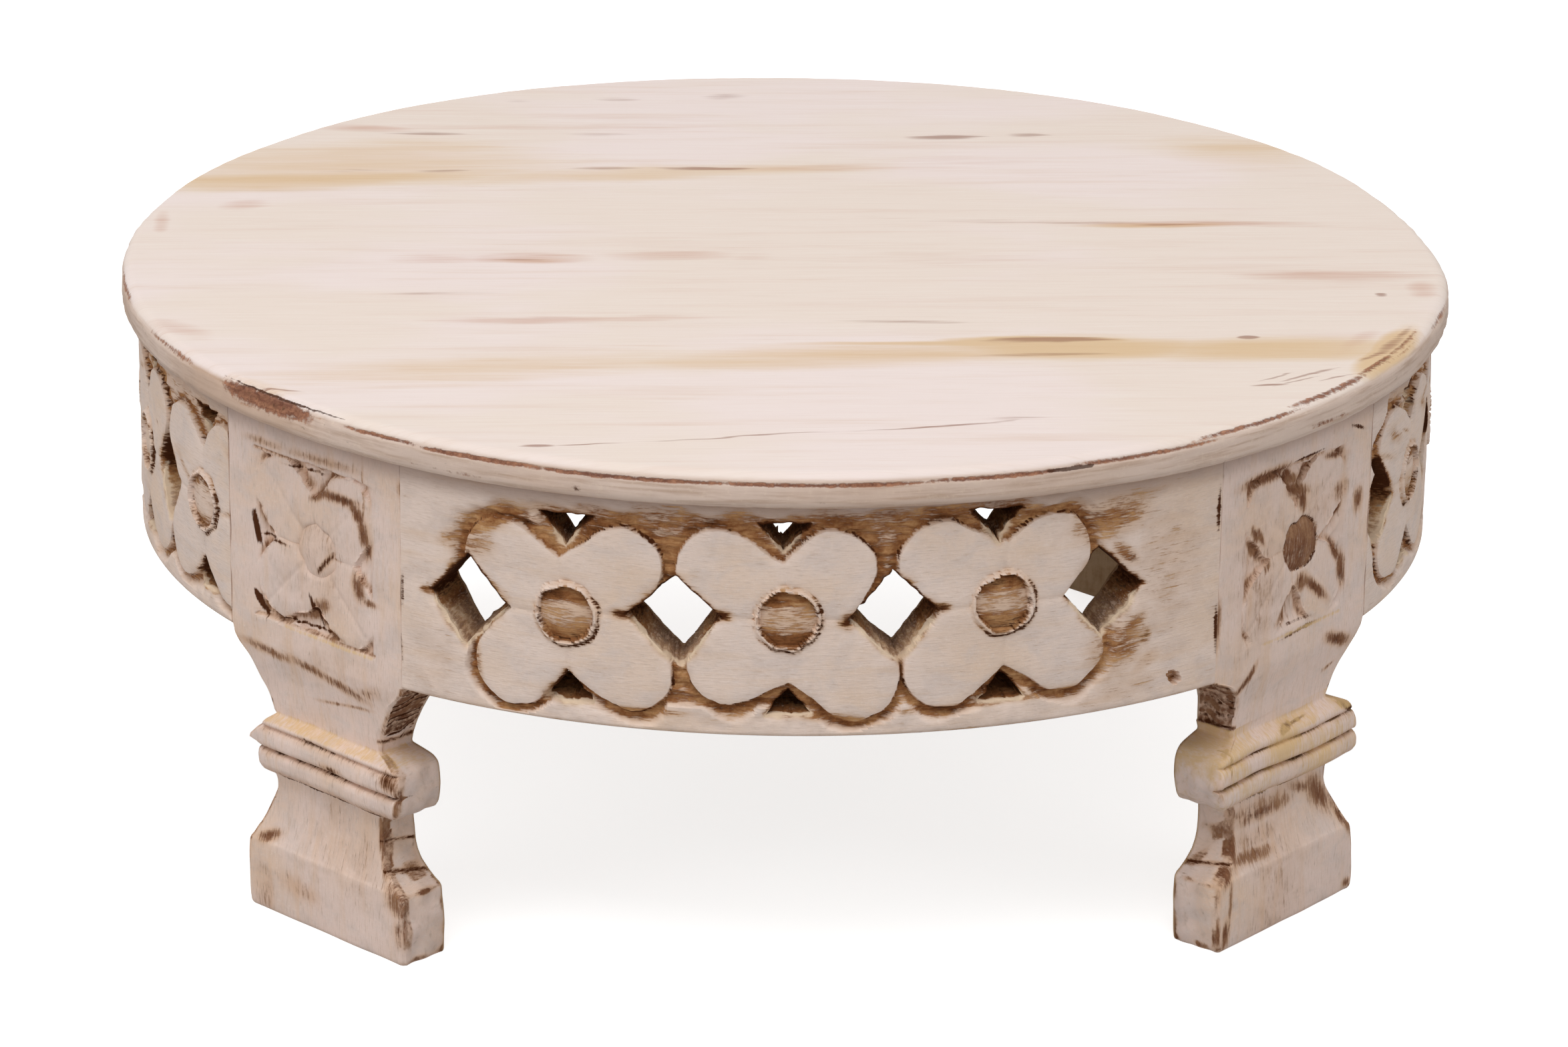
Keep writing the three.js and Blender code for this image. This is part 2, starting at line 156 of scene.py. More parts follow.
def cut_flower(dice, middle, notch, tip_offsets, tip_radius, slips):
    """A flower on a regular plan, with every notch and tip cut a little off its place."""
    u, z = middle
    notch_slip, tip_slips, radius_slips = slips
    square = ((0, notch), (notch, 0), (0, -notch), (-notch, 0))
    slip = (-notch_slip, notch_slip)
    notches = [(u + du + dice.uniform(*slip), z + dz + dice.uniform(*slip)) for du, dz in square]
    tips = []
    for du, dz in tip_offsets:
        tip = [at + by + dice.uniform(-s, s) for at, by, s in zip(middle, (du, dz), tip_slips)]
        tips.append((*tip, tip_radius + dice.uniform(*radius_slips)))
    return flower(middle, notches, tips)


def triangle(u, base, tip, width):
    return np.array([(u - width / 2, base), (u, tip), (u + width / 2, base)])


# Places on the front panel, along its face from the middle and up from the floor.
front_flowers = [
    {
        "middle": (-81.0, 134.7),
        "notches": [(-83.7, 153.0), (-62.8, 136.7), (-81.0, 116.0), (-100.0, 134.0)],
        "tips": [(-63.0, 152.0, 13.0), (-60.0, 117.5, 13.5), (-99.0, 115.3, 13.7), (-103.5, 150.0, 13.5)],
    },
    {
        "middle": (-9.7, 137.7),
        "notches": [(-11.0, 156.0), (9.2, 137.2), (-9.0, 117.2), (-29.5, 138.0)],
        "tips": [(4.7, 153.7, 13.2), (12.0, 117.5, 14.0), (-28.2, 121.5, 13.2), (-32.0, 153.5, 13.3)],
    },
    {
        "middle": (60.0, 140.2),
        "notches": [(61.0, 160.0), (80.0, 139.5), (61.0, 119.5), (40.0, 139.7)],
        "tips": [(76.8, 155.3, 12.9), (81.5, 121.5, 13.6), (41.2, 120.0, 13.6), (39.3, 155.0, 13.7)],
    },
]
front_diamonds = [
    [(-129.8, 135.0), (-115.6, 150.0), (-101.5, 134.5), (-117.0, 118.5)],
    [(-61.3, 136.7), (-44.8, 150.8), (-31.0, 138.0), (-43.7, 120.0)],
    [(10.3, 137.2), (24.2, 153.0), (38.8, 139.7), (26.0, 122.3)],
    [(81.3, 139.3), (93.7, 154.3), (109.6, 139.7), (95.3, 123.6)],
]
front_slits = [
    (-82.3, 167.5, 156.8, 18), (-80.6, 105.2, 115.5, 15.5), (-11.0, 169.0, 159.6, 17),
    (-9.2, 105.6, 114.0, 14), (57.9, 171.2, 160.8, 17), (60.3, 107.2, 116.2, 15),
]
front_field = [(-90.0, 168.0), (66.0, 173.0), (72.0, 111.5), (-84.0, 107.0)]

# Rubbed and scuffed places: along the face, height, half length, half width, slope in degrees, and
# how brown and how dark they are.
front_scuffs = [
    (-107, 162, 13, 2.4, 27, 0.85, 0), (-119, 155.5, 7, 2.6, 18, 0.62, 0),
    (-95, 167.4, 10, 1.4, 10, 0.6, 0.2), (-112.5, 114, 2, 8, 8, 0.6, 0.1),
    (-50, 171, 30, 1, 2, 0.5, 0.1), (97, 164, 14, 6.5, 9, 0.7, 0.1), (104, 170.6, 12, 0.8, 3, 0.6, 0.3),
    (90, 159.5, 4, 5, 50, 0.6, 0.1), (103, 151, 6, 2.4, -38, 0.75, 0.1),
    (101, 120, 10, 7.5, 20, 0.68, 0.1), (106, 126, 6, 2.6, 30, 0.7, 0.15),
    (111, 121.5, 3, 5, 0, 0.5, 0.35), (112, 113, 6, 2.6, 30, 0.45, 0.3),
    (-62.5, 136.7, 3.4, 1.6, 0, 0.9, 0.75), (-31, 138.4, 3.2, 1.8, 0, 0.9, 0.7),
    (9.4, 137, 2.6, 2.2, 60, 0.9, 0.7), (38.8, 140.2, 3.4, 1.6, 0, 0.9, 0.7),
    (108.6, 140, 2.6, 1.3, 0, 0.8, 0.5), (-131, 134.8, 2.6, 1.3, 0, 0.8, 0.5),
    (-114.5, 153, 9, 5, 20, 0.55, 0), (-57, 104.4, 13, 1, 1, 0.95, 0.3),
    (3, 104.6, 14, 1.4, -8, 1, 0.35), (45, 106.1, 18, 0.9, 1, 0.9, 0.25),
    (80, 107.6, 15, 0.9, 4, 0.8, 0.2), (139.8, 159, 8, 0.7, 90, 0.5, 0.9),
    (140.4, 117, 8, 0.9, 92, 0.5, 0.9), (-140.4, 133, 6, 0.6, 90, 0.4, 0.8),
    (-140.6, 112, 5, 0.5, 90, 0.4, 0.7), (118, 142, 16, 26, 0, 0.3, 0), (100, 104, 16, 4, 6, 0.3, 0),
    (-128, 112, 9, 16, 0, 0.2, 0),
]


def regular_plan(pitch, flowers, start, ends, seed, rubbed):
    """A panel whose carving follows the carver's even spacing, each cut a little off it."""
    dice = np.random.default_rng(seed)
    notch, tip_radius, tip_reach, web = 18.6, 13.4, 20.4, 1.3
    squeeze = min(1, (pitch / 2 - tip_radius) / tip_reach)
    tip_offsets = [(17.0, 16.2), (20.6, -18.4), (-18.6, -18.2), (-21.2, 15.6)]
    offsets = [(du * squeeze, dz) for du, dz in tip_offsets]
    slips = (0.7, (0.6, 0.8), (-0.5, 0.3))
    scuffs = 14
    plan = {"petals": [], "holes": [], "bosses": [], "scuffs": [], "rubbed": rubbed}
    for index in range(flowers):
        u = start + index * pitch
        z = flower_height + dice.uniform(-1, 1)
        plan["petals"] += cut_flower(dice, (u, z), notch, offsets, tip_radius, slips)
        plan["bosses"].append((u, z))
        plan["holes"] += [triangle(u + dice.uniform(-1, 1), *slit) for slit in (high_slit, low_slit)]
    half = pitch / 2 - notch - web
    for index in range(-ends, flowers - 1 + ends):
        u = start + (index + 0.5) * pitch + dice.uniform(-0.6, 0.6)
        plan["holes"].append(np.array([(u - half, 136.6), (u, 152.4), (u + half, 135.6), (u, 119.6)]))
    last = start + (flowers - 1) * pitch
    plan["field"] = np.array([(start, 169.5), (last, 169.5), (last, 107.5), (start, 107.5)])
    for _ in range(scuffs):
        u, z = dice.uniform(start - 30, last + 30), dice.uniform(102, 172)
        spread = dice.uniform(2, 9)
        plan["scuffs"].append((u, z, spread, dice.uniform(0.6, 2.2), dice.uniform(-30, 30), 0.5, 0.15))
    return plan


front_plan = {
    "petals": [shape for entry in front_flowers for shape in flower(**entry)],
    "bosses": [entry["middle"] for entry in front_flowers],
    "holes": [*map(np.array, front_diamonds), *(triangle(*slit) for slit in front_slits)],
    "field": np.array(front_field),
    "scuffs": front_scuffs,
    "rubbed": 1.0,
}


def scuffed(u, z, marks):
    """How brown and how dark the marks make each point."""
    brown, dark = np.zeros(u.shape), np.zeros(u.shape)
    for mark_u, mark_z, half_length, half_width, slope, brownness, darkness in marks:
        turn = math.radians(slope)
        along = (u - mark_u) * math.cos(turn) + (z - mark_z) * math.sin(turn)
        across = (z - mark_z) * math.cos(turn) - (u - mark_u) * math.sin(turn)
        shape = np.exp(-0.7 * (np.abs(along / half_length) ** 2.6 + (across / half_width) ** 2))
        brown = np.maximum(brown, brownness * shape)
        dark = np.maximum(dark, darkness * shape)
    return brown, dark


def drawn_onto(u, z, free, distance):
    """Draws the points within half a cell of an outline onto it, so that the mesh follows it."""
    small = 0.02
    here = distance(u, z)
    over_u = (distance(u + small, z) - here) / small
    over_z = (distance(u, z + small) - here) / small
    u_steps, z_steps = np.gradient(u), np.gradient(z)
    slopes = [over_u * u_step + over_z * z_step for u_step, z_step in zip(u_steps, z_steps)]
    steepness = np.maximum(slopes[0] ** 2 + slopes[1] ** 2, 1e-9)
    near = free & (here**2 < 0.25 * steepness)
    move = np.where(near, -here / steepness, 0)
    moved_u = u + move * (slopes[0] * u_steps[0] + slopes[1] * u_steps[1])
    moved_z = z + move * (slopes[0] * z_steps[0] + slopes[1] * z_steps[1])
    return moved_u, moved_z, near


def tube_triangles(lengths, rounds, on_outline):
    """The triangles of a grid that is closed in its second direction. A cell's diagonal joins two
    corners that lie on an outline where it can."""
    index = np.arange(lengths * rounds).reshape(lengths, rounds)
    beside = np.roll(index, -1, axis=1)
    a, b, c, d = (corners.ravel() for corners in (index[:-1], beside[:-1], beside[1:], index[1:]))
    marked = on_outline.ravel()
    other = marked[b] & marked[d] & ~(marked[a] & marked[c])
    first = np.where(other[:, None], np.stack([a, b, d], 1), np.stack([a, b, c], 1))
    second = np.where(other[:, None], np.stack([b, c, d], 1), np.stack([a, c, d], 1))
    return np.concatenate([first, second])


def lone_edges(triangles):
    """The edges that only one triangle uses, each in its triangle's direction."""
    edges = np.concatenate([triangles[:, [0, 1]], triangles[:, [1, 2]], triangles[:, [2, 0]]])
    size = int(edges.max()) + 1
    forward = edges[:, 0] * size + edges[:, 1]
    return edges[~np.isin(forward, edges[:, 1] * size + edges[:, 0])]


def untied(triangles):
    """Drops the few triangles that hang on the rest of the sheet by one corner only."""
    while True:
        starts, counts = np.unique(lone_edges(triangles)[:, 0], return_counts=True)
        kept = np.ones(len(triangles), bool)
        for corner in starts[counts > 1]:
            fans = []
            for index in np.flatnonzero((triangles == corner).any(axis=1)):
                fan, others = {index}, set(triangles[index]) - {corner}
                for neighbour in [entry for entry in fans if entry[1] & others]:
                    fans.remove(neighbour)
                    fan, others = fan | neighbour[0], others | neighbour[1]
                fans.append((fan, others))
            fans.sort(key=lambda entry: len(entry[0]))
            for fan, _ in fans[:-1]:
                kept[list(fan)] = False
        if kept.all():
            return triangles
        triangles = triangles[kept]


def open_loops(triangles):
    """The loops of the edges that only one triangle uses."""
    following = {int(start): int(end) for start, end in lone_edges(triangles)}
    loops = []
    while following:
        start, here = following.popitem()
        loop = [start]
        while here != start:
            loop.append(here)
            here = following.pop(here)
        loops.append(loop)
    return loops


def zipped(first, first_turns, second, second_turns):
    """Triangles between two loops round one middle, each given by rising turns."""
    triangles = []
    i = j = 0
    count_first, count_second = len(first), len(second)
    while i < count_first or j < count_second:
        next_first = first_turns[i + 1] if i + 1 < count_first else first_turns[0] + 2 * math.pi
        next_second = second_turns[j + 1] if j + 1 < count_second else second_turns[0] + 2 * math.pi
        here, there = first[i % count_first], second[j % count_second]
        if j >= count_second or (i < count_first and next_first <= next_second):
            triangles.append((here, first[(i + 1) % count_first], there))
            i += 1
        else:
            triangles.append((here, second[(j + 1) % count_second], there))
            j += 1
    return triangles


def round_turns(loop, u, z):
    """A loop with its turns round its own middle. It starts at the lowest turn and goes up."""
    def turns_of(loop):
        return np.unwrap(np.arctan2(z[loop] - z[loop].mean(), u[loop] - u[loop].mean()))

    loop = np.array(loop)
    turns = turns_of(loop)
    if turns[-1] < turns[0]:
        loop, turns = loop[::-1], turns[::-1]
    start = np.argmin((turns + np.pi) % (2 * np.pi))
    loop = np.roll(loop, -start)
    return loop, turns_of(loop)


def capped(places, flow, wear, end, up, end_wear):
    """Adds a point in the middle of a closed end, and the fan of triangles round it."""
    hub = len(places)
    places, flow = (
        np.concatenate([part, part[end].mean(axis=0, keepdims=True)]) for part in (places, flow)
    )
    wear = np.concatenate([wear, [end_wear]])
    fan = np.stack([end, np.roll(end, -1), np.full(len(end), hub)], 1)
    return places, flow, wear, fan if up else fan[:, ::-1]


def linked(name, data):
    """A new object in the scene."""
    made = bpy.data.objects.new(name, data)
    bpy.context.scene.collection.objects.link(made)
    return made


def worn_mesh(name, places, faces, flow, wear):
    """A mesh from places in millimetres. Flow holds the pattern's own directions, in metres, and wear says
    how brown, how dark and how pale each point is, from rubbing and chips and from painted shade and light."""
    mesh = bpy.data.meshes.new(name)
    mesh.from_pydata((places * mm).tolist(), [], faces, shade_flat=False)
    for label, values in (("flow", flow * mm), ("wear", wear)):
        attribute = mesh.attributes.new(label, "FLOAT_VECTOR", "POINT")
        attribute.data.foreach_set("vector", values.ravel())
    return mesh


def worn_piece(name, places, triangles, flow, wear):
    """A mesh object of a worn piece, smooth but for its edges."""
    mesh = worn_mesh(name, places, triangles.tolist(), flow, wear)
    mesh.set_sharp_from_angle(angle=math.radians(35))
    return linked(name, mesh)


def finished(piece, material, slot, *nodes):
    """Gives a piece its material and its body, and hides the CAD nodes that it replaces. The slot is not
    used.
    """
    piece.data.materials.clear()
    piece.data.materials.append(material)
    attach(piece, "root")
    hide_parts(*nodes)


def section_path():
    """Insets and heights round a panel's section: down the face, under it, up the back and over
    the top. Also which of them lie on the face and which on the back."""
    ease_top, ease_foot, ease_back = 0.9, 1.5, 1.2
    corner_steps = 4
    deep = panel_thickness
    quarter = np.pi / 2

    def run(start, end, step):
        count = max(2, int(abs(end - start) / step))
        return np.linspace(start, end, count, endpoint=False)

    def corner(inset, height, radius, start):
        turns = start + np.linspace(0, quarter, corner_steps, endpoint=False)
        return inset + radius * np.cos(turns), height + radius * np.sin(turns)

    face = run(ring_top - ease_top, ring_bottom + ease_foot, cell)
    under = run(ease_foot, deep - ease_back, back_cell)
    back = run(ring_bottom + ease_back, ring_top - ease_back, back_cell)
    over = run(deep - ease_back, ease_top, back_cell)
    pieces = [
        (np.zeros(len(face)), face),
        corner(ease_foot, ring_bottom + ease_foot, ease_foot, 2 * quarter),
        (under, np.full(len(under), ring_bottom)),
        corner(deep - ease_back, ring_bottom + ease_back, ease_back, 3 * quarter),
        (np.full(len(back), deep), back),
        corner(deep - ease_back, ring_top - ease_back, ease_back, 0),
        (over, np.full(len(over), ring_top)),
        corner(ease_top, ring_top - ease_top, ease_top, quarter),
    ]
    insets, heights = (np.concatenate(side) for side in zip(*pieces))
    on_face = (insets == 0) & (heights < ring_top - 2 * cell) & (heights > ring_bottom + 2 * cell)
    on_back = (insets == deep) & (heights > ring_bottom + 4) & (heights < ring_top - 4)
    return insets, heights, on_face, on_back


def carved_panel(name, facing, plan, seed):
    """One panel, carved, pierced and bent to the ring."""
    leg_reach = leg_half_width + joint_seam
    to_leg = leg_turn if facing in (0, 180) else 90 - leg_turn
    half_turn, back_half_turn = (
        math.radians(to_leg - math.degrees(math.asin(leg_reach / radius)))
        for radius in (ring_radius, ring_radius - panel_thickness)
    )
    half_length = half_turn * ring_radius

    insets, heights, on_face, on_back = section_path()
    columns = int(half_length * 2 / cell)
    u, z = np.meshgrid(np.linspace(-half_length, half_length, columns), heights, indexing="ij")
    inset = np.repeat(insets[None, :], columns, axis=0)
    inner = (np.arange(columns) > 1) & (np.arange(columns) < columns - 2)
    face, back = (inner[:, None] & zone[None, :] for zone in (on_face, on_back))

    def hand(u, z):
        """The carver's hand: outlines wander a little."""
        return wandered(u, z, seed, 14, 0.2, 0.06)

    def to_petals(u, z):
        return nearest_outline(*hand(u, z), plan["petals"])

    def to_bosses(u, z):
        gaps = [np.hypot(u - boss_u, z - boss_z) - boss_radius for boss_u, boss_z in plan["bosses"]]
        return np.min(gaps, axis=0) + 0.25 * ripple(u, z, 9, seed + 4)

    def to_holes(u, z, outlines=plan["holes"]):
        """The distance outside the holes, which stop short of the panel's ends."""
        gap = nearest_outline(*hand(u, z), outlines)
        return np.maximum(gap, np.abs(u) - (half_length - hole_margin))

    def to_back_holes(u, z):
        return to_holes(u, z, back_holes)

    def uneven(wavelength, shift):
        return ripple(u, z, wavelength, seed + shift)

    def middle_of(loop):
        return np.array([u[loop].mean(), z[loop].mean()])

    # The holes narrow to the back, the low slits most, and these climb a little.
    spread = ring_radius / (ring_radius - panel_thickness)
    back_holes = []
    for outline in plan["holes"]:
        middle = outline.mean(axis=0)
        is_low_slit = len(outline) == 3 and middle[1] < flower_height
        taper, lift = (0.8, 1.4) if is_low_slit else (0.95, 0)
        widened = (outline - middle) * [spread * taper, taper]
        back_holes.append(middle * [hole_slant, 1] + [0, lift] + widened)

    on_outline = np.zeros(u.shape, bool)
    for free, distance in ((face, to_holes), (back, to_back_holes), (face, to_petals), (face, to_bosses)):
        u, z, near = drawn_onto(u, z, free & ~on_outline, distance)
        on_outline |= near

    triangles = tube_triangles(columns, len(insets), on_outline)
    u, z, inset = u.ravel(), z.ravel(), inset.ravel()
    middle_u, middle_z, middle_inset = (part[triangles].mean(axis=1) for part in (u, z, inset))
    in_hole = (middle_inset < 0.01) & (to_holes(middle_u, middle_z) < 0)
    in_hole |= (middle_inset > panel_thickness - 0.01) & (to_back_holes(middle_u, middle_z) < 0)
    triangles = untied(triangles[~in_hole])

    # The carving sinks the face round the petals, and the holes' edges are chipped most at their foot.
    beyond, open_gap, boss_gap = to_petals(u, z), to_holes(u, z), to_bosses(u, z)
    zone = np.minimum(nearest_outline(u, z, [plan["field"]]), beyond - 2.2)
    fade_width = ground_fade * (0.4 + 0.6 * eased((z - fade_low) / (fade_high - fade_low)))
    fade = 1 - eased(zone / (fade_width * (1 + 0.35 * uneven(17, 5))))
    gouges = ripple(u * 0.45, z, 3.2, seed + 6)
    ground = ground_depth * fade * (1 + 0.16 * gouges)
    step = eased(beyond / 0.9)
    edge = petal_edge * np.exp(np.minimum(beyond, 0) / 1.1)
    depth = np.where(beyond > 0, petal_edge + (ground - petal_edge) * step, edge)
    holes = np.array([outline.mean(axis=0) for outline in plan["holes"]])
    nearest = np.argmin(np.hypot(u[:, None] - holes[:, 0], z[:, None] - holes[:, 1]), axis=1)
    below = eased((holes[nearest, 1] + 2 - z) / 6)
    chip_width = 0.6 + 1.2 * below * (0.6 + 0.3 * uneven(6, 7))
    chip = faded(open_gap, np.maximum(chip_width, 0.4))
    chip_depth = (0.6 + 0.8 * below) * (1 + 0.25 * uneven(5, 8))
    depth = depth + chip * chip_depth * np.where(beyond < 0, 0.35, 1)
    depth = depth + 0.12 * uneven(24, 9)

    # The bosses: a raised rim round a low dome, in a fine groove.
    boss_place = boss_gap + boss_radius
    on_boss = boss_gap < 0.02
    rim_middle, rim_half = boss_radius - 0.8, 0.85
    rim = np.sqrt(np.clip(1 - ((boss_place - rim_middle) / rim_half) ** 2, 0, 1))
    dome_radius = rim_middle - rim_half + 0.2
    dome = np.cos(np.clip(boss_place / dome_radius, 0, 1) * np.pi / 2) ** 0.8
    boss_depth = np.where(boss_place < dome_radius, 1.1 - 1.5 * dome, 0.4 - 1.5 * rim)
    depth = np.where(on_boss, boss_depth, depth + 0.9 * faded(boss_gap, 0.7))
    sunk = (depth * (inset == 0)).clip(-1.2, 4.5)
    within = eased((half_length - np.abs(u)) / 1.5)
    end_fade = eased((z - ring_bottom - 0.6) / 2) * eased((ring_top - z) / 2) * within
    placed_inset = inset + sunk * end_fade

    # Rubbing leaves brown in the ground and at cut edges, and pale chips; the lines round the petals and the
    # holes' edges are drawn dark, the holes' most at their top. Each boss gets a painted shadow at its lower
    # right.
    scuff_brown, scuff_dark = scuffed(u, z, plan["scuffs"])
    rubbed = plan["rubbed"]
    by_petal = faded(beyond - 1.2, 2.2)
    in_ground = eased((beyond - 0.1) / 0.8) * fade * (0.58 + 0.4 * by_petal)
    in_ground = in_ground * (rubbed + (1 - rubbed) * by_petal * 0.8)
    cut_edge = 0.95 * faded(open_gap, 1.1 + 0.3 * uneven(11, 12))
    brown = most(in_ground, scuff_brown, cut_edge, 0.1 * (beyond > 0))
    petal_line = 0.72 * line_at(beyond, 0.55, 0.5) * fade * (0.8 + 0.3 * uneven(15, 11))
    dark = most(petal_line, scuff_dark, (0.75 - 0.5 * below) * line_at(open_gap, 0, 0.9))
    bosses = np.array(plan["bosses"])
    boss_u, boss_z = bosses[np.argmin(np.abs(u[:, None] - bosses[:, 0]), axis=1)].T
    lean = np.abs(z - boss_z) / boss_radius
    in_dish = (boss_place < dome_radius + 0.5) * eased((boss_place - 2) / 5) * eased((lean - 0.15) / 0.5)
    dish_brown = 0.46 + 0.54 * in_dish - 0.36 * (boss_place > dome_radius)
    # Painted shadow: the outline of each boss is browner and darker at its lower right, the side away from
    # the light.
    shadowed_low_right = eased(0.5 + (u - boss_u - z + boss_z) / 14)
    brown = np.where(on_boss, dish_brown * (0.4 + 0.6 * rubbed), brown)
    brown = most(brown, (0.45 + 0.3 * shadowed_low_right) * line_at(boss_gap, 0.4, 0.6))
    dark = np.where(on_boss, most(0.4 * in_dish, 0.5 * line_at(boss_place, dome_radius, 0.85)), dark)
    dark = most(dark, 0.75 * shadowed_low_right * line_at(boss_gap, 0.4, 0.8))
    pale = below * chip * (open_gap < 4)
    on_front = inset == 0
    brown = most(brown * on_front, 0.38 * line_at(z, ring_bottom, 1.2) * (inset < 3))
    points = [np.stack([u, z, placed_inset, brown, dark * on_front, pale * on_front], 1)]

    # The walls of the holes, from the edge of each front loop to its loop at the back.
    loops = [loop for loop in open_loops(triangles) if np.ptp(u[loop]) > 1]
    fronts = [loop for loop in loops if inset[loop].max() < 0.01]
    backs = [loop for loop in loops if inset[loop].min() > panel_thickness - 0.01]
    sheets = [triangles]
    count = len(u)
    for loop in fronts:
        order, turns = round_turns(loop, u, z)
        middle = middle_of(order)
        mate = min(backs, key=lambda other: np.abs(middle_of(other) - middle).sum())
        mate_order, mate_turns = round_turns(mate, u, z)
        mate_middle = middle_of(mate_order)
        reach = np.hypot(u[order] - middle[0], z[order] - middle[1])
        mate_reach = np.hypot(u[mate_order] - mate_middle[0], z[mate_order] - mate_middle[1])
        back_reach = np.interp(turns, mate_turns, mate_reach, period=2 * np.pi)
        start = placed_inset[order]
        previous = order
        for ring in range(1, wall_rings):
            share = ring / wall_rings
            centre = middle * (1 - share) + mate_middle * share
            radius = reach * (1 - share) + back_reach * share
            radius = radius + 0.22 * ripple(turns * 9, np.full(turns.shape, share), 1.2, seed + 10)
            ring_u = centre[0] + radius * np.cos(turns)
            ring_z = centre[1] + radius * np.sin(turns)
            ring_inset = start + (panel_thickness - start) * share
            number = count + np.arange(len(order))
            count += len(order)
            after, number_after = np.roll(previous, -1), np.roll(number, -1)
            sheets.append(np.stack([previous, after, number], 1))
            sheets.append(np.stack([after, number_after, number], 1))
            # The walls' colour is partly painted light: the upper walls, which face down, are painted dark
            # as shade, and the lower walls pale as if lit, over the brown wood and the pale chips near the
            # front.
            low = eased((centre[1] - ring_z) / 12 + 0.2)
            wall_colour_and_light = (1 - 0.3 * low, 0.72 - 0.72 * low, most(np.exp(-share * 7) * low, 0.46 * low))
            points.append(np.stack([ring_u, ring_z, ring_inset, *wall_colour_and_light], 1))
            previous = number
        sheets.append(np.array(zipped(previous, turns, mate_order, mate_turns)))

    # The ends lie against the legs, whose flanks aren't radial.
    flow, wear = np.split(np.concatenate(points), 2, axis=1)
    u, z, placed_inset = flow.T
    share_in = np.clip(placed_inset / panel_thickness, 0, 1)
    toward_end = np.clip((np.abs(u) / half_length - 0.85) / 0.15, 0, 1)
    turn = u / ring_radius - np.sign(u) * (half_turn - back_half_turn) * share_in * toward_end
    turn = turn + math.radians(facing)
    radius = ring_radius - placed_inset
    places = np.stack([radius * np.sin(turn), -radius * np.cos(turn), z], 1)
    for column, up in ((0, False), (columns - 1, True)):
        end = column * len(insets) + np.arange(len(insets))
        places, flow, wear, fan = capped(places, flow, wear, end, up, (0, 0, 0))
        sheets.append(fan)
    kept, packed = np.unique(np.concatenate(sheets), return_inverse=True)
    return worn_piece(name, places[kept], packed.reshape(-1, 3), flow[kept], wear[kept])


right_plan = regular_plan(66.0, 3, -86.6, 1, 21, 0.5)
back_plan = regular_plan(70.5, 3, -80.5, 1, 22, 0.85)
left_plan = regular_plan(62.0, 4, -77.1, 0, 23, 0.42)
panels = {
    "apron_front": (0, front_plan, 31),
    "apron_right": (90, right_plan, 32),
    "apron_back": (180, back_plan, 33),
    "apron_left": (270, left_plan, 34),
}
ring_pieces = {}
for node, (facing, plan, seed) in panels.items():
    ring_pieces[node] = carved_panel(node.replace("apron", "panel"), facing, plan, seed)


def tint(red, green, blue):
    """A colour as it is seen on a screen, from 0 to 255, as the linear colour of a shader."""
    shares = [value / 255 for value in (red, green, blue)]
    return (*(s / 12.92 if s < 0.04045 else ((s + 0.055) / 1.055) ** 2.4 for s in shares), 1)


class Wire:
    """A shader socket that can be written in a sum, so that a mask reads as it is worked out."""

    def __init__(self, tree, socket=None):
        self.tree = tree
        self.socket = socket

    def node(self, kind, inputs=None, output=0, stops=None, **settings):
        """Any node: its type, its settings, which are set first, and its sockets' values or links.
        A list gives several links to one socket."""
        made = self.tree.nodes.new(kind)
        for setting, value in settings.items():
            setattr(made, setting, value)
        if stops:
            ramp = made.color_ramp.elements
            while len(ramp) < len(stops):
                ramp.new(0.5)
            for element, (place, colour) in zip(ramp, stops):
                element.position = place
                element.color = colour
        for name, value in (inputs or {}).items():
            for source in value if isinstance(value, list) else [value]:
                if isinstance(source, Wire):
                    self.tree.links.new(source.socket, made.inputs[name])
                else:
                    made.inputs[name].default_value = source
        return Wire(self.tree, made.outputs[output])

    def math(self, operation, other=0.0, first=None):
        inputs = {0: self if first is None else first, 1: other}
        return self.node("ShaderNodeMath", inputs, operation=operation)

    def __add__(self, other):
        return self.math("ADD", other)

    def __mul__(self, other):
        return self.math("MULTIPLY", other)

    def __sub__(self, other):
        return self.math("SUBTRACT", other)

    def __rsub__(self, other):
        return self.math("SUBTRACT", self, other)

    __radd__ = __add__
    __rmul__ = __mul__

    def at_least(self, other):
        return self.math("MAXIMUM", other)

    def step(self, low, high):
        """A soft step from 0 below low to 1 above high."""
        inputs = {"Value": self, "From Min": low, "From Max": high}
        return self.node("ShaderNodeMapRange", inputs, interpolation_type="SMOOTHSTEP")

    def noise(self, scale, detail=3.0, roughness=0.55, distortion=0.0):
        """Noise on this place, at so many waves a metre along each of its three directions."""
        placed = self.node("ShaderNodeMapping", {"Vector": self, "Scale": scale})
        inputs = {"Vector": placed, "Scale": 1.0, "Detail": detail, "Roughness": roughness}
        return self.node("ShaderNodeTexNoise", {**inputs, "Distortion": distortion})

    def layered(self, colour, *layers):
        """A colour with others laid over it, each by its own factor."""
        for other, factor in layers:
            inputs = {0: factor, 6: colour, 7: other}
            colour = self.node("ShaderNodeMix", inputs, output=2, data_type="RGBA")
        return colour

    def parts(self):
        """The three parts of a vector."""
        split = self.node("ShaderNodeSeparateXYZ", {0: self}).socket.node
        return [Wire(self.tree, output) for output in split.outputs]


def new_material(name):
    """An empty material with its shader, and a wire to draw in it."""
    material = bpy.data.materials.new(name)
    material.use_nodes = True
    return material, material.node_tree.nodes["Principled BSDF"], Wire(material.node_tree)


def dressed(wire, shader, colour, relief, depth, roughness):
    """Links a colour, a relief with its depth in metres, and a roughness to the shader."""
    bump = wire.node("ShaderNodeBump", {"Height": relief, "Distance": depth, "Strength": 1.0})
    for name, source in (("Base Color", colour), ("Normal", bump), ("Roughness", roughness)):
        wire.tree.links.new(source.socket, shader.inputs[name])


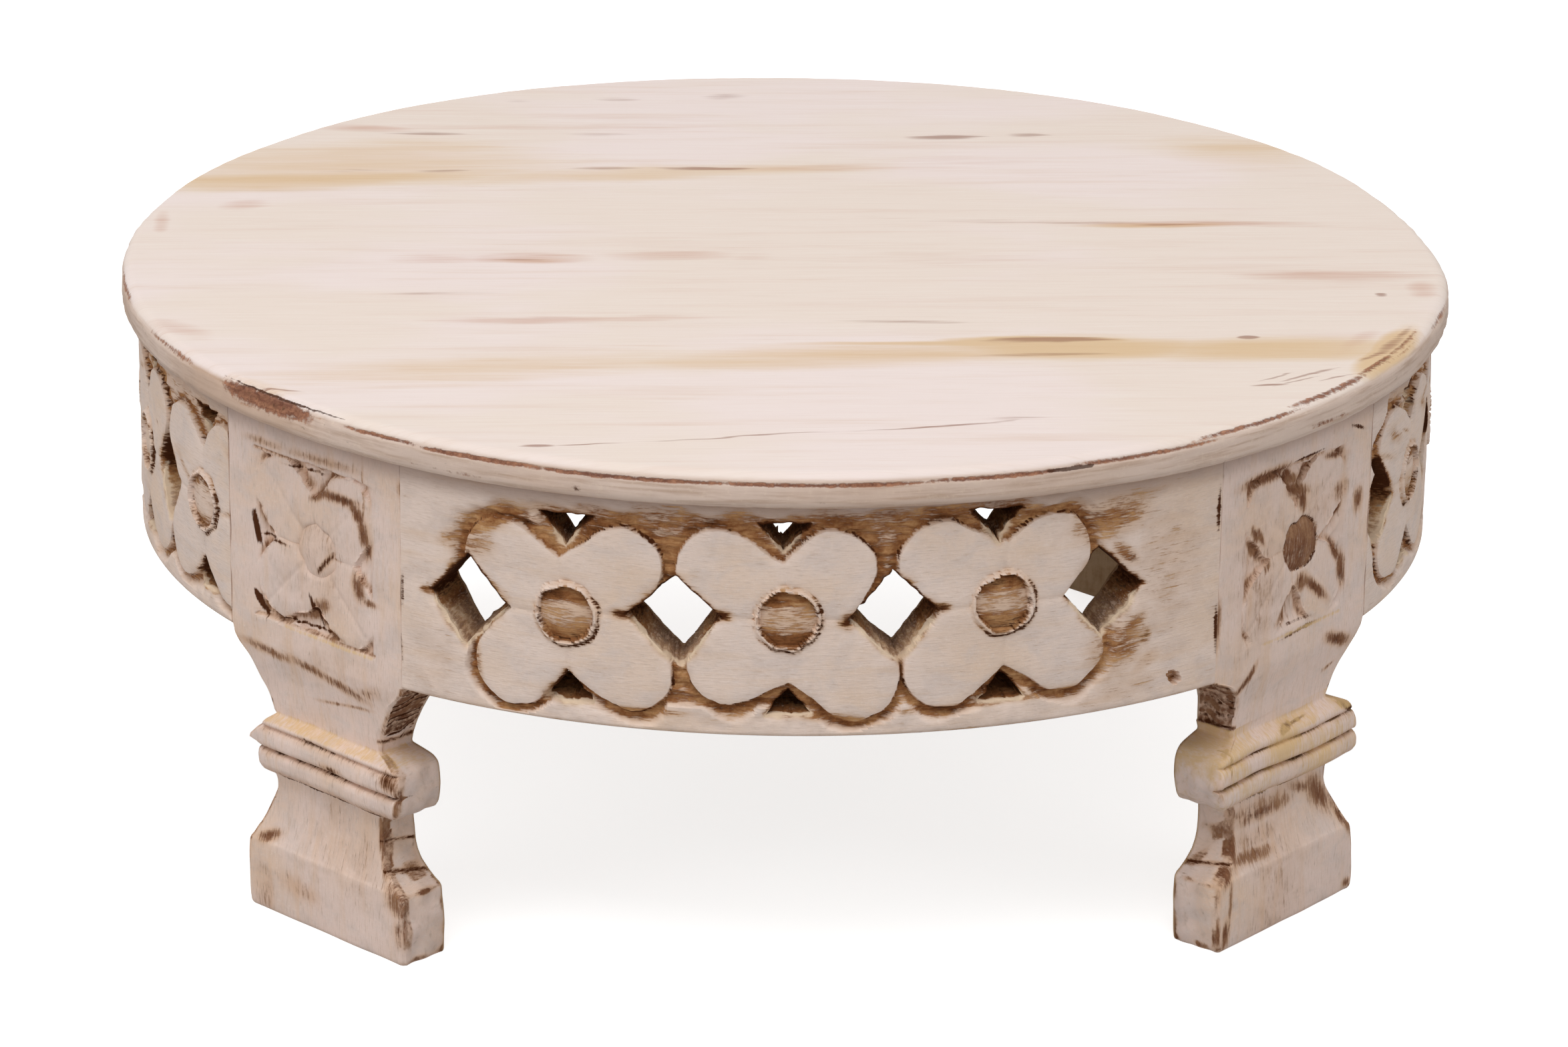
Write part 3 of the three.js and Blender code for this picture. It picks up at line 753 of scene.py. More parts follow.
def whitewashed(name, along, across, colours, back_depth):
    """Whitewash over carved wood. Along and across are the waves a metre of the grain on the
    pattern's first and second directions."""
    material, shader, wire = new_material(name)
    flow = wire.node("ShaderNodeAttribute", attribute_name="flow", output="Vector")
    brown, dark, pale = wire.node("ShaderNodeAttribute", attribute_name="wear", output="Vector").parts()
    inward = flow.parts()[2]
    grain = flow.noise((along, across, 300), 4, 0.6)
    hair = flow.noise((along * 2.2, across * 2.4, 400), 2, 0.6)
    streak = flow.noise((along * 0.22, across * 0.2, 60), 3, 0.6)
    cloud = flow.noise((26, 26, 26), 3, 0.5)
    blotch = flow.noise((80, 110, 80), 4, 0.62, 0.4)
    speck = flow.noise((700, 900, 700), 3, 0.7)

    haze = (brown + (blotch - 0.5) * 0.6 + (streak - 0.5) * 0.4).step(0.0, 0.55)
    # Painted shadow: the paint darkens over the top 9 mm of the ring and the legs, where the top's overhang
    # shades them.
    painted_shadow_under_top = flow.parts()[1].step((ring_top - 9) * mm, (ring_top - 1) * mm)
    paint = wire.layered(
        colours["paint"],
        (colours["warm"], cloud.step(0.4, 0.7) * 0.7),
        (colours["cool"], blotch.step(0.42, 0.7) * 0.6),
        (colours["thin"], hair.step(0.46, 0.8) * 0.6),
        (colours["warm"], streak.step(0.5, 0.72) * 0.4),
        (colours["light"], speck.step(0.5, 0.75) * 0.3),
        (colours["smudge"], haze * 0.6),
        (colours["shade"], painted_shadow_under_top * 0.6),
    )

    mottle = grain * 0.3 + streak * 0.2 + blotch * 0.55 + speck * 0.15
    stops = [(place, colours[name]) for place, name in wood_stops]
    wood = wire.node("ShaderNodeValToRGB", {"Fac": mottle}, stops=stops)
    rub = (blotch - 0.5) * 0.8 + (grain - 0.5) * 1.2 + (hair - 0.5) * 0.8 + (speck - 0.5) * 0.4
    hairline = hair.step(0.62, 0.72) * blotch.step(0.54, 0.66) * 0.35
    bare = (brown + rub).step(*colours["rubbed"]).at_least(hairline)
    deep = (dark + rub * 0.8).step(0.36, 0.7)
    chipped = (pale + rub * 0.6).step(0.3, 0.74)

    # The back is bare wood, with only a thin brush of whitewash here and there.
    behind = inward.step(back_depth * mm - 0.0016, back_depth * mm - 0.0004)
    inside = wire.layered(
        tint(214, 182, 146),
        (tint(178, 138, 98), mottle.step(0.45, 0.8)),
        (colours["warm"], cloud.step(0.48, 0.7) * 0.3),
    )
    colour = wire.layered(
        paint, (wood, bare), (colours["bark"], deep), (colours["chip"], chipped * 0.8), (inside, behind)
    )
    relief = grain * 0.35 + hair * 0.2 + speck * 0.15 + (1 - bare) * 0.4 + (1 - chipped) * 0.2
    dressed(wire, shader, colour, relief, 0.00035, 0.66 + bare * 0.16 + grain * 0.1)
    shader.inputs["Specular IOR Level"].default_value = 0.12
    return material


wood_stops = [(0.47, "bark"), (0.58, "brown"), (0.69, "ochre"), (0.81, "raw")]
ring_colours = {
    "paint": tint(237, 216, 203),
    "warm": tint(232, 204, 180),
    "cool": tint(219, 204, 197),
    "thin": tint(206, 182, 165),
    "light": tint(246, 232, 224),
    "smudge": tint(206, 168, 134),
    # The colour of the painted shadow under the top.
    "shade": tint(160, 134, 122),
    "bark": tint(78, 40, 16),
    "brown": tint(144, 94, 56),
    "ochre": tint(192, 146, 100),
    "raw": tint(216, 184, 150),
    "chip": tint(242, 218, 190),
    "rubbed": (0.34, 0.74),
}
ring_paint = whitewashed("ring_whitewash", 110, 900, ring_colours, panel_thickness)
for node, piece in ring_pieces.items():
    finished(piece, ring_paint, "painted_ring", node)


# The legs: each is one plank on end, its flanks sawn to a coved waist, a bead of two rolls, a neck
# and a foot. The face carries a square flower, and it is whitewashed and rubbed like the ring.
leg_thickness = 19.5
leg_face = math.sqrt(ring_radius**2 - leg_half_width**2)
leg_back = leg_face - leg_thickness
leg_cell = 0.62
motif_middle = 134.7
motif_half, motif_reach = 29.0, 34
motif_tip, motif_tip_radius = 16.0, 12.0
motif_boss = 8.8
motif_depth = 2.0
foot_lean, foot_splay = 3.4, 1.0
shoulder, shoulder_foot = 98, 96
neck_top, foot_top = 49, 26
bead_low, bead_high = 48, 76
upper_groove, lower_groove, neck_line = 66.1, 58.5, 48.6
cove_low, cove_high = 76, 97

# Height, half width on the side of the long panels and of the short ones, and how far the face is
# cut back, down the leg from the panels.
leg_turning = [
    (ring_top, 41.5, 41.5, 0), (98.4, 41.5, 41.5, 0), (96.2, 40.6, 41.2, 0.1), (93.5, 37.2, 39.4, 0.7),
    (90, 33.6, 36.6, 1.8), (86, 30.4, 33.4, 2.9), (82, 27.8, 30.6, 3.7), (78, 25.8, 28.4, 4.3),
    (75.4, 25, 27.4, 4.6), (74.6, 25.6, 27.8, 4.4), (72.9, 30.4, 31.4, 2.6), (71.6, 33.6, 34, 1.1),
    (70.6, 35.2, 35.4, 0.2), (68.8, 36.6, 36.6, -0.3), (66.8, 37.4, 37.4, -0.1),
    (66.1, 37.6, 37.6, 1.2), (65.4, 37.8, 37.8, -0.3), (63.4, 38, 38, -0.9), (60.4, 38, 38, -0.9),
    (59.3, 37.9, 37.9, -0.3), (58.5, 37.8, 37.8, 2.2), (57.7, 37.7, 37.7, -0.3), (56, 37.5, 38, -0.8),
    (53, 37, 38, -0.6), (51, 35.8, 37.2, 0.6), (49.7, 33.4, 35, 2.4), (48.9, 29, 31.6, 4.1),
    (48.2, 25.8, 28.2, 4.6), (46.5, 25, 27.6, 4.6), (43, 24.8, 27.6, 4.5), (39, 25, 28.8, 4.3),
    (36, 25.4, 30, 4), (33, 26.4, 31.4, 3.4), (30, 28.2, 33.2, 2.6), (27, 31.6, 35.2, 1.6),
    (25, 34.6, 36.4, 0.9), (24.1, 36.6, 37, 0.4), (23, 37.4, 37.4, 0.3), (16, 38, 38.1, 0.2),
    (4, 38, 38.1, 0.3), (0.8, 37.7, 37.8, 0.5), (0, 37.1, 37.2, 1.1),
]
lip_outline = [(49, 29), (50.5, 30), (59, 30.5), (60.2, 31), (60.8, 34.4), (62, 34), (69.9, 26), (76, 40)]
tight_cove = [(75, 42), (76, 25.2), (84, 25.4), (88, 26.2), (91, 28.2), (94, 32.4), (96.5, 38), (98, 42)]


def leg_levels(bead_top):
    """Heights, half widths and setbacks from the floor up, in steps of about one cell. The top of
    the bead isn't at the same height on each leg."""
    profile = np.array(leg_turning)[::-1]
    usual, shifted = ((0, 66.8, bead, 98.4, ring_top) for bead in (75.4, bead_top))
    profile[:, 0] = np.interp(profile[:, 0], usual, shifted)
    steps = np.sqrt((np.diff(profile[:, [0, 1, 3]], axis=0) ** 2).sum(axis=1))
    travelled = np.concatenate([[0], np.cumsum(steps)])
    at = np.linspace(0, travelled[-1], int(travelled[-1] / leg_cell))
    levels = np.stack([np.interp(at, travelled, profile[:, i]) for i in range(4)], 1)
    levels[1:-1] = (levels[:-2] + 2 * levels[1:-1] + levels[2:]) / 4
    return levels.T


def narrowed(half_widths, heights, outline, low, high):
    """Half widths that keep inside an outline between two heights."""
    inside = np.minimum(half_widths, np.interp(heights, *np.array(outline).T))
    return np.where((heights > low) & (heights < high), inside, half_widths)


def leg_section(left, right, thick, rounding, back_round):
    """Places across and out from the leg's back, round its section at every height: along the
    face, down one flank, along the back and up the other flank. Also the steps along the face."""
    face_steps, flank_steps, back_steps, corner_steps = 96, 15, 14, 5

    def share(steps):
        return np.linspace(0, 1, steps, endpoint=False)[None, :]

    def corner(s, d, radius, start):
        turns = start - share(corner_steps) * np.pi / 2
        return s + radius * np.cos(turns), d + radius * np.sin(turns)

    along, up, behind = share(face_steps), share(flank_steps), share(back_steps)
    parts = [
        (rounding - left + along * (left + right - 2 * rounding), thick + 0 * along),
        corner(right - rounding, thick - rounding, rounding, np.pi / 2),
        (right + 0 * up, thick - rounding + up * (back_round + rounding - thick)),
        corner(right - back_round, back_round, back_round, 0),
        (right - back_round - behind * (left + right - 2 * back_round), 0 * thick + 0 * behind),
        corner(back_round - left, back_round, back_round, -np.pi / 2),
        (-left + 0 * up, back_round + up * (thick - rounding - back_round)),
        corner(rounding - left, thick - rounding, rounding, np.pi),
    ]
    s, d = (np.concatenate(side, axis=1) for side in zip(*parts))
    return s, d, face_steps


def carved_leg(name, turn, seed, scuffs, notch, bead_top, outer, lipped, tight, framed):
    """One leg. Outer is the sign of the side towards its short panel. Lipped and tight tell the
    two front legs' own coves, and framed how crisply the flower's square is cut at its foot."""
    dice = np.random.default_rng(seed)
    heights, long_side, short_side, setbacks = leg_levels(bead_top)
    if lipped:
        short_side = narrowed(short_side, heights, lip_outline, neck_top, bead_high)
    if tight:
        long_side = narrowed(long_side, heights, tight_cove, cove_low, shoulder)
    left, right = (long_side, short_side) if outer > 0 else (short_side, long_side)
    right = (right + 0.2 * ripple(heights, 0, 15, seed))[:, None]
    left = (left + 0.2 * ripple(heights, 0, 15, seed + 1))[:, None]
    thick = (leg_thickness - setbacks)[:, None]
    rounding = (1.3 + 0.35 * ripple(heights, 0, 11, seed + 2)).clip(0.7, 2.2)
    rounding = (rounding + (0.5 - rounding) * eased((heights - shoulder_foot) / 4))[:, None]
    s, d, face_steps = leg_section(left, right, thick, rounding, np.full(thick.shape, 1.0))
    rows, columns = s.shape
    z = np.repeat(heights[:, None], columns, axis=1)
    column = np.arange(columns)
    on_face = np.broadcast_to((column > 0) & (column < face_steps), s.shape)
    in_motif = on_face & (np.abs(z - motif_middle) < motif_reach)

    # The square flower: four petals that run into the corners, round a boss.
    corners = [(side * motif_tip, up * motif_tip) for side, up in ((1, 1), (1, -1), (-1, -1), (-1, 1))]
    slips = (0.8, (0.8, 0.8), (-0.4, 0.4))
    petals = cut_flower(dice, (0, motif_middle), notch, corners, motif_tip_radius, slips)
    square = np.array([(-1, -1), (1, -1), (1, 1), (-1, 1)]) * motif_half + [0, motif_middle]
    boss_s = dice.uniform(-0.5, 0.5) + (3.6 if tight else 0.5)

    def hand(s, z):
        return wandered(s, z, seed + 3, 13, 0.4, 0.08)

    def to_petals(s, z):
        return nearest_outline(*hand(s, z), petals)

    def to_square(s, z):
        return distance_outside(*hand(s, z), square)

    def to_boss(s, z):
        return np.hypot(s - boss_s, z - motif_middle) - motif_boss + 0.3 * ripple(s, z, 8, seed + 7)

    def uneven(wavelength, shift):
        return ripple(s, z, wavelength, seed + shift)

    on_outline = np.zeros(s.shape, bool)
    for distance in (to_petals, to_square, to_boss):
        s, z, near = drawn_onto(s, z, in_motif & ~on_outline, distance)
        on_outline |= near

    beyond, outside, boss = to_petals(s, z), to_square(s, z), to_boss(s, z)
    to_side = motif_half - np.abs(s)
    to_foot = z - motif_middle + motif_half
    crisp = eased((0.3 - outside) / 0.9)
    shelf = crisp * eased((to_side + 0.5) / 6) * (framed + (1 - framed) * eased((to_foot + 0.5) / 6))
    sunk = motif_depth * eased(beyond / 0.9) * shelf
    sunk = sunk * (1 + 0.2 * ripple(s, z * 0.5, 4, seed + 8))
    sunk = sunk + 0.45 * np.exp(np.minimum(beyond, 0) / 1.2) * (outside < 0) * (beyond < 0) * shelf
    top_line = line_at(z - motif_middle, motif_half, 0.6) * (np.abs(s + 7) < 22)
    foot_line = framed * line_at(to_foot, 0, 0.6) * (np.abs(s) < motif_half)
    square_line = np.maximum(top_line, foot_line)
    sunk = np.maximum(sunk, 0.7 * square_line)
    sunk = sunk + 0.35 * line_at(np.abs(s), np.abs(z - motif_middle), 1.2) * (beyond < -1)
    dome = 0.9 - 1.6 * np.cos(np.clip((boss + motif_boss) / motif_boss, 0, 1) * np.pi / 2) ** 0.7
    on_boss = boss < 0.02
    sunk = np.where(on_boss, dome, sunk + 0.8 * faded(boss, 0.8))
    sunk = np.where(in_motif, sunk, 0).clip(-1.0, 3)
    sunk = sunk * eased((leg_half_width - np.abs(s)) / 2) + 0.12 * uneven(22, 9) * on_face
    on_bead = (z > bead_low) & (z < bead_high)
    groove_wave = 0.3 * ripple(s, z * 0.1, 45, seed + 10) * on_bead * on_face
    d = d - sunk - groove_wave * 0.4
    z = z + groove_wave * on_bead

    # Saw and rasp marks across the flanks, which the photograph shows in the coves.
    on_flank = (d > 1.2) & (d < thick - 1) & ~on_face
    in_cove = on_flank * (z < cove_high) * (z > cove_low)
    rasped = 0.6 * np.sin(z * 1.7 + 0.3 * d + 1.4 * ripple(d, z, 9, seed + 11)) * in_cove
    s = s - np.sign(s) * rasped.clip(-0.1, 1)
    flank_wave = 0.25 * ripple(d, z, 10, seed + 12) * on_flank * (z < shoulder_foot)
    s = s + np.sign(s) * flank_wave
    ledges = (27.4, 37.0) if lipped else (26.6,)
    ledge = sum(line_at(z - 0.15 * d, height, 0.7) for height in ledges)
    s = s - np.sign(s) * 0.6 * ledge * on_flank

    # Rubbed marks and painted shade: strokes in the flower, marks, arrises, lines on the flanks, a painted
    # shadow at the foot of the cove, and the bead's grooves.
    mark_brown, mark_dark = scuffed(s, z, scuffs)
    facing_out = d > thick - 4
    to_arris = np.minimum(right - s, s + left)
    on_side = ~on_face & (to_arris < 2.5)
    level = z - groove_wave * on_bead
    brown = 0.62 * line_at(beyond, 1.3, 1.5) * shelf + 0.2 * eased(beyond) * shelf
    brown = most(brown * (0.85 + 0.3 * uneven(16, 17)), 0.6 * square_line)
    brown = np.where(on_boss, 0.2 if lipped else 0.78, brown) * in_motif
    arris = line_at(to_arris, 0.5, 0.9) * (d > thick - 2.6) * (z < shoulder)
    frame_line = line_at(d, 0.8, 1.1) + line_at(z, 1.2, 1.2) + line_at(z, 23.4, 0.9)
    frame_line = frame_line * (z < foot_top) * on_side * (0.8 + 0.4 * ripple(d, z, 9, seed + 19))
    # Painted shadow: a brown and dark line along the flanks at the foot of the cove, just above the bead.
    cove_foot_shadow = line_at(z - bead_top, 3.6, 1.2) * on_side
    soiled = line_at(level, lower_groove, 2.2) + line_at(level, upper_groove, 2) + line_at(level, 50.5, 2)
    on_neck = on_flank * (z < neck_top) * (z > foot_top)
    brown = most(
        brown,
        mark_brown * facing_out,
        0.6 * (arris * (0.7 + 0.35 * uneven(16, 13))),
        0.66 * frame_line,
        0.8 * cove_foot_shadow,
        0.7 * ledge * on_side,
        0.36 * soiled * on_face,
        (0.62 - 0.3 * rasped) * on_flank * (z < cove_high) * (z > 77),
        0.55 * on_neck * eased(ripple(d, z, 12, seed + 15)),
    )
    low_share, high_share = (0.62, 0.4) if lipped else (0.95, 0.85)
    grooves = low_share * line_at(level, lower_groove, 0.6) + high_share * line_at(level, upper_groove, 0.55)
    grooves = grooves + 0.8 * line_at(level, neck_line, 0.8)
    groove_share = on_face + (1.0 if lipped else 0.1) * on_side
    dark = most(
        0.45 * line_at(beyond, 0.5, 0.5) * shelf * in_motif,
        (0.3 if lipped else 0.7) * line_at(boss, 0.4, 0.5) * in_motif,
        mark_dark * facing_out,
        0.62 * cove_foot_shadow,
        0.6 * ledge * on_side,
        grooves * groove_share * (0.85 + 0.2 * ripple(s, 0, 13, seed + 14)),
        (0.95 if lipped else 0.5) * eased((rasped - 0.05) / 0.4),
    )
    fillet = eased((z - 66.6) / 2) * eased((bead_top + 1.2 - z) / 1.2) * (d > 3)
    low_edge = line_at(to_foot, -1.2, 0.9) * on_face * (np.abs(s - 6) < 22)
    pale = most(0.6 * (fillet * (0.9 + 0.14 * uneven(20, 16))), 0.62 * low_edge)
    if tight:
        pale = most(pale, 0.52 * on_bead * (0.9 + 0.2 * uneven(22, 18)))

    lean = np.clip(1 - z / shoulder, 0, 1)
    heading = math.radians(turn)
    outward = leg_back + d + foot_splay * lean
    aside = s + foot_lean * lean
    x = outward * math.sin(heading) + aside * math.cos(heading)
    y = -outward * math.cos(heading) + aside * math.sin(heading)
    places, flow, wear = (
        np.stack(parts, 2).reshape(-1, 3)
        for parts in ((x, y, z), (s, z, leg_thickness - d), (brown, dark, pale))
    )
    triangles = tube_triangles(rows, columns, on_outline)
    for row, up in ((0, False), (rows - 1, True)):
        end = row * columns + column
        places, flow, wear, fan = capped(places, flow, wear, end, up, (0.3, 0, 0))
        triangles = np.concatenate([triangles, fan])
    return worn_piece(name, places, triangles, flow, wear)


# Marks on the two front legs, across the face from its middle and up from the floor: half length,
# half width, slope in degrees, and how brown and how dark.
left_marks = [
    (2.5, 154.6, 4, 1.5, 30, 0.9, 0.2), (12, 156, 9, 1.7, 0, 0.95, 0.25),
    (21, 152.8, 4.5, 2.2, -42, 0.95, 0.25), (24, 147, 5, 2.4, -80, 0.9, 0.3),
    (21, 127.5, 5, 2.4, 110, 0.85, 0.2), (26, 123.5, 4, 1.2, 0, 0.7, 0.2),
    (-28.2, 136, 6, 1.1, 100, 0.3, 1.2), (-20, 133.6, 8, 0.7, -4, 0.5, 0.8),
    (-27.6, 110.4, 4.8, 1, -58, 0.3, 1.3), (-0.4, 114, 6, 0.9, -66, 0.4, 1.1),
    (-8, 107.4, 18, 0.5, 1, 0.5, 0.9), (3, 116.5, 5, 2.5, 20, 0.7, 0.1),
    (5, 131.5, 6, 1.2, 48, 0.7, 0.7), (-4, 161.6, 10, 0.6, 1, 0.5, 0.8),
    (-24, 166.5, 9, 1.4, 0, 0.5, 0.2), (5, 167, 16, 1.6, 2, 0.5, 0.15), (42, 167, 2.2, 3, 0, 0.55, 0.2),
    (24, 158, 14, 0.5, 90, 0.6, 0.2), (42, 134, 4.5, 0.6, 90, 0.5, 1), (42, 114, 5, 0.5, 90, 0.5, 0.9),
    (-25, 93.4, 11, 1.6, -4, 0.74, 0.05), (-3, 92.4, 11, 1.7, -8, 0.74, 0.05),
    (12, 89.8, 11, 1.8, -10, 0.74, 0.05), (24, 91.5, 6, 2.5, 20, 0.5, 0), (10, 83, 14, 0.7, 8, 0.55, 0),
    (-30, 7, 5, 9, 0, 0.36, 0), (-12, 12.5, 10, 3.6, -6, 0.42, 0), (12, 30, 22, 16, 0, 0.22, 0),
    (10, 96, 26, 8, 0, 0.2, 0), (4, 125, 20, 22, 0, 0.2, 0), (-28, 26.5, 5, 1.8, 22, 0.85, 0.1),
    (35, 22, 7, 4, -60, 0.7, 0.1), (37, 12, 3, 6, 0, 0.6, 0), (26, 41, 2.2, 6, 0, 0.85, 0.2),
    (28, 33, 2.2, 5, 20, 0.85, 0.2), (34, 64, 4, 3, -30, 0.8, 0.5), (6, 60.2, 5, 1.2, 0, 0.6, 0.5),
    (-2, 66.5, 8, 0.8, -4, 0.5, 0.6),
]
right_marks = [
    (-16, 163.2, 13, 2, 1, 1, 0.45), (-3, 159.6, 6, 2, -38, 0.95, 0.4),
    (0.5, 154, 6, 2.2, -18, 0.95, 0.4), (3.6, 150, 4, 1.9, -84, 0.95, 0.4),
    (20.5, 161.4, 6, 1.3, -8, 0.95, 0.45), (5, 164.6, 10, 0.5, 2, 0.3, 0.9),
    (-22.5, 144.8, 3.6, 1.3, -60, 0.95, 0.3), (-19.2, 143, 4.4, 1.1, -58, 0.95, 0.3),
    (-15, 131.5, 2.6, 1.2, 60, 0.7, 0.2), (22.5, 127.5, 6, 1.6, -60, 0.95, 0.3),
    (27, 119.5, 6, 2, -80, 0.95, 0.3), (4.5, 121, 3, 2.2, 90, 0.9, 0.3),
    (-2.5, 115.6, 8, 1.3, 46, 0.9, 0.2), (12, 117.2, 9, 1.8, -38, 0.95, 0.3),
    (35, 142, 2.4, 3.6, 0, 0.9, 0.3), (24, 148, 4.5, 3.6, 40, 0.62, 0), (2, 107.6, 8, 0.4, 0, 0.3, 0.8),
    (4, 104.2, 11, 0.7, 4, 0.4, 0.7), (27, 94.4, 7.5, 2.2, -20, 1, 0.35),
    (-24, 93.6, 7.5, 1.5, 46, 0.9, 0.25), (25.5, 84.5, 3, 0.8, 20, 0.6, 0.4),
    (-42.5, 156, 11, 0.8, 88, 0.8, 0.5), (-41.2, 118, 8, 1.6, 86, 0.75, 0.3),
    (-8, 41.6, 14, 2.6, 1, 0.74, 0.1), (-12, 43.5, 18, 3.4, -2, 0.5, 0),
    (-17, 28.8, 12, 2.4, -3, 0.7, 0), (-14, 34, 16, 5, 0, 0.34, 0), (-26, 35, 8, 1.6, 84, 0.9, 0.2),
    (-32, 26, 4, 2, 50, 0.9, 0.2), (23, 38.5, 9, 3.6, -50, 0.8, 0.2), (14, 43.5, 8, 2.2, -20, 0.6, 0),
    (32.5, 27.5, 8, 1.6, -58, 0.8, 0.2), (-31.5, 15, 12, 0.8, 86, 0.7, 0.2),
    (-20, 128, 14, 26, 0, 0.3, 0), (14, 146, 12, 12, 0, 0.26, 0), (-4, 14, 16, 30, 0, 0.26, 0),
    (-34, 6, 1.8, 5, -10, 0.9, 0.2), (35, 2.8, 2.4, 1.6, 0, 0.7, 0.1), (-1, 70, 4, 0.9, 10, 0.6, 0.9),
    (7, 70.6, 7, 0.4, 2, 0.4, 0.8), (33, 68.5, 4.5, 1.6, -28, 0.8, 0.9),
    (-32.5, 66, 6, 0.5, 86, 0.6, 0.8), (33, 168, 4.5, 0.8, -22, 0.4, 0.9),
    (0, 174, 14, 0.6, 2, 0.4, 0.6),
]


def rubbed_marks(seed):
    """Marks for a leg that the photograph doesn't show."""
    count = 16
    dice = np.random.default_rng(seed)
    marks = []
    for _ in range(count):
        s, z = dice.uniform(-34, 34), dice.uniform(4, 168)
        shape = (dice.uniform(3, 11), dice.uniform(0.7, 2.4), dice.uniform(-50, 50))
        marks.append((s, z, *shape, dice.uniform(0.5, 0.85), dice.uniform(0, 0.35)))
    return marks


legs = {
    "leg_front_left": (-leg_turn, 51, left_marks, 19.0, 70.4, -1, True, False, 1.0),
    "leg_front_right": (leg_turn, 52, right_marks, 13.0, 72.8, 1, False, True, 0.0),
    "leg_back_right": (180 - leg_turn, 53, rubbed_marks(63), 16.0, 72.0, -1, False, False, 0.6),
    "leg_back_left": (180 + leg_turn, 54, rubbed_marks(64), 17.0, 72.0, 1, False, False, 0.8),
}
leg_colours = dict(
    ring_colours,
    paint=tint(236, 212, 200),
    warm=tint(232, 200, 172),
    smudge=tint(208, 164, 126),
    brown=tint(124, 82, 58),
    ochre=tint(158, 118, 88),
    raw=tint(190, 150, 120),
    chip=tint(226, 190, 138),
    rubbed=(0.27, 0.82),
)
leg_paint = whitewashed("leg_whitewash", 800, 90, leg_colours, leg_thickness)
for node, cut in legs.items():
    piece = carved_leg(node.replace("leg", "carved_leg"), *cut)
    finished(piece, leg_paint, "painted_legs", node)


# The dowels: turned pins of pale wood, glued half into a leg's flank and half into a panel's end.
# Nothing of them shows once the ring is together, so the CAD pins stay and only get their wood.
def plain_wood(name, light, dark, scale):
    """Unpainted wood with its grain along X of the piece, as sawn or turned."""
    material, shader, wire = new_material(name)
    place = wire.node("ShaderNodeTexCoord", output="Object")
    grain = place.noise(scale, 5, 0.6, 0.3)
    fine = place.noise(tuple(value * 4 for value in scale), 3, 0.7)
    blotch = place.noise((30, 30, 30), 3, 0.5)
    tone = grain * 0.6 + fine * 0.25 + blotch * 0.25
    colour = wire.layered(dark, (light, tone.step(0.4, 0.68)))
    dressed(wire, shader, colour, grain * 0.5 + fine * 0.5, 0.0003, 0.62 + fine * 0.2)
    return material


dowel_wood = plain_wood("dowel_wood", tint(214, 184, 138), tint(176, 138, 94), (240, 240, 240))
for name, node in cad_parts.items():
    if name.startswith("dowel_"):
        node.data.materials.clear()
        node.data.materials.append(dowel_wood)


# The top: three boards glued edge to edge and turned round, with a soft rounded edge. The
# whitewash is thickest here, thin over two ochre bands of heartwood, and worn off along the edge.
top_low, top_high = (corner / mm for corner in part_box("top_board_middle"))
top_bottom, top_level = top_low.z, top_high.z
top_radius = 229.9
front_edge_round, back_edge_round, top_foot_round = 4.6, 2.6, 3.4
board_joint = 77.0
board_seam = 0.08
rim_columns = 1440

# The turned edge isn't quite round: degrees from the front, and how far it falls short.
shortfalls = [(-180, 3.4), (-174, 3.1), (-168, 2.5), (-162, 1.7), (-156, 0.9), (-150, 0.3), (-144, 0),
              (-96, 0), (-60, 0.2), (-20, 0), (25, 0), (60, 0.3), (78, 0.4), (84, 0.8), (90, 2.0),
              (96, 3.2), (102, 3.6), (108, 2.8), (114, 1.4), (120, 0.4), (126, 0),
              (144, 0), (150, 0.2), (156, 0.7), (162, 1.4), (168, 2.3), (174, 3.1), (180, 3.4)]

# Places where the paint is off the edge: degrees from the front, half spread, where on the edge's
# curve in millimetres from the flat, half width there, and how brown and how dark.
edge_wear = [
    (-50, 6.2, 5.8, 2.6, 1, 0.42), (-48, 8.5, 3.2, 0.5, 0.6, 0.8), (-46, 9, 8.6, 0.6, 0.6, 0.6),
    (-37, 5, 5.4, 0.8, 0.8, 0.2), (-28, 6, 5.8, 0.8, 0.95, 0.3), (-15, 10, 6.1, 0.8, 0.9, 0.2),
    (0, 10, 6.1, 0.8, 0.85, 0.2), (14, 7, 5.8, 0.8, 0.85, 0.1), (27, 8, 5.2, 0.8, 0.8, 0.1),
    (38, 7, 3.6, 1, 0.85, 0.15), (49, 7, 1.8, 1.6, 0.8, 0.15), (57, 4, 0.8, 1.6, 0.8, 0.3),
    (63, 5, 0.4, 1.5, 0.62, 0.45), (61, 5, 2.8, 0.6, 0.5, 0.4), (73, 5, 4.4, 1.1, 0.6, 0.1),
    (-66, 6, 5, 1.2, 0.6, 0), (-83, 6, 4.4, 1.2, 0.6, 0), (-99, 5, 4.4, 1.2, 0.55, 0),
    (20.3, 2.4, 5.8, 0.6, 0.4, 1.1), (-19.4, 0.6, 11.6, 0.7, 0.5, 0.6),
    (-13.3, 0.6, 12.4, 0.7, 0.5, 0.5), (0, 0.7, 12, 0.7, 0.5, 0.55), (9.8, 0.8, 9.6, 0.7, 0.5, 0.6),
    (-31, 6, 12, 0.9, 0.5, 0.2), (36, 6, 10.6, 0.8, 0.5, 0.4), (48, 4, 11.4, 0.9, 0.6, 0.5),
    (125, 14, 5, 1, 0.6, 0.2), (165, 17, 5, 1.1, 0.6, 0.2), (-140, 16, 5.2, 1.1, 0.65, 0.2),
]


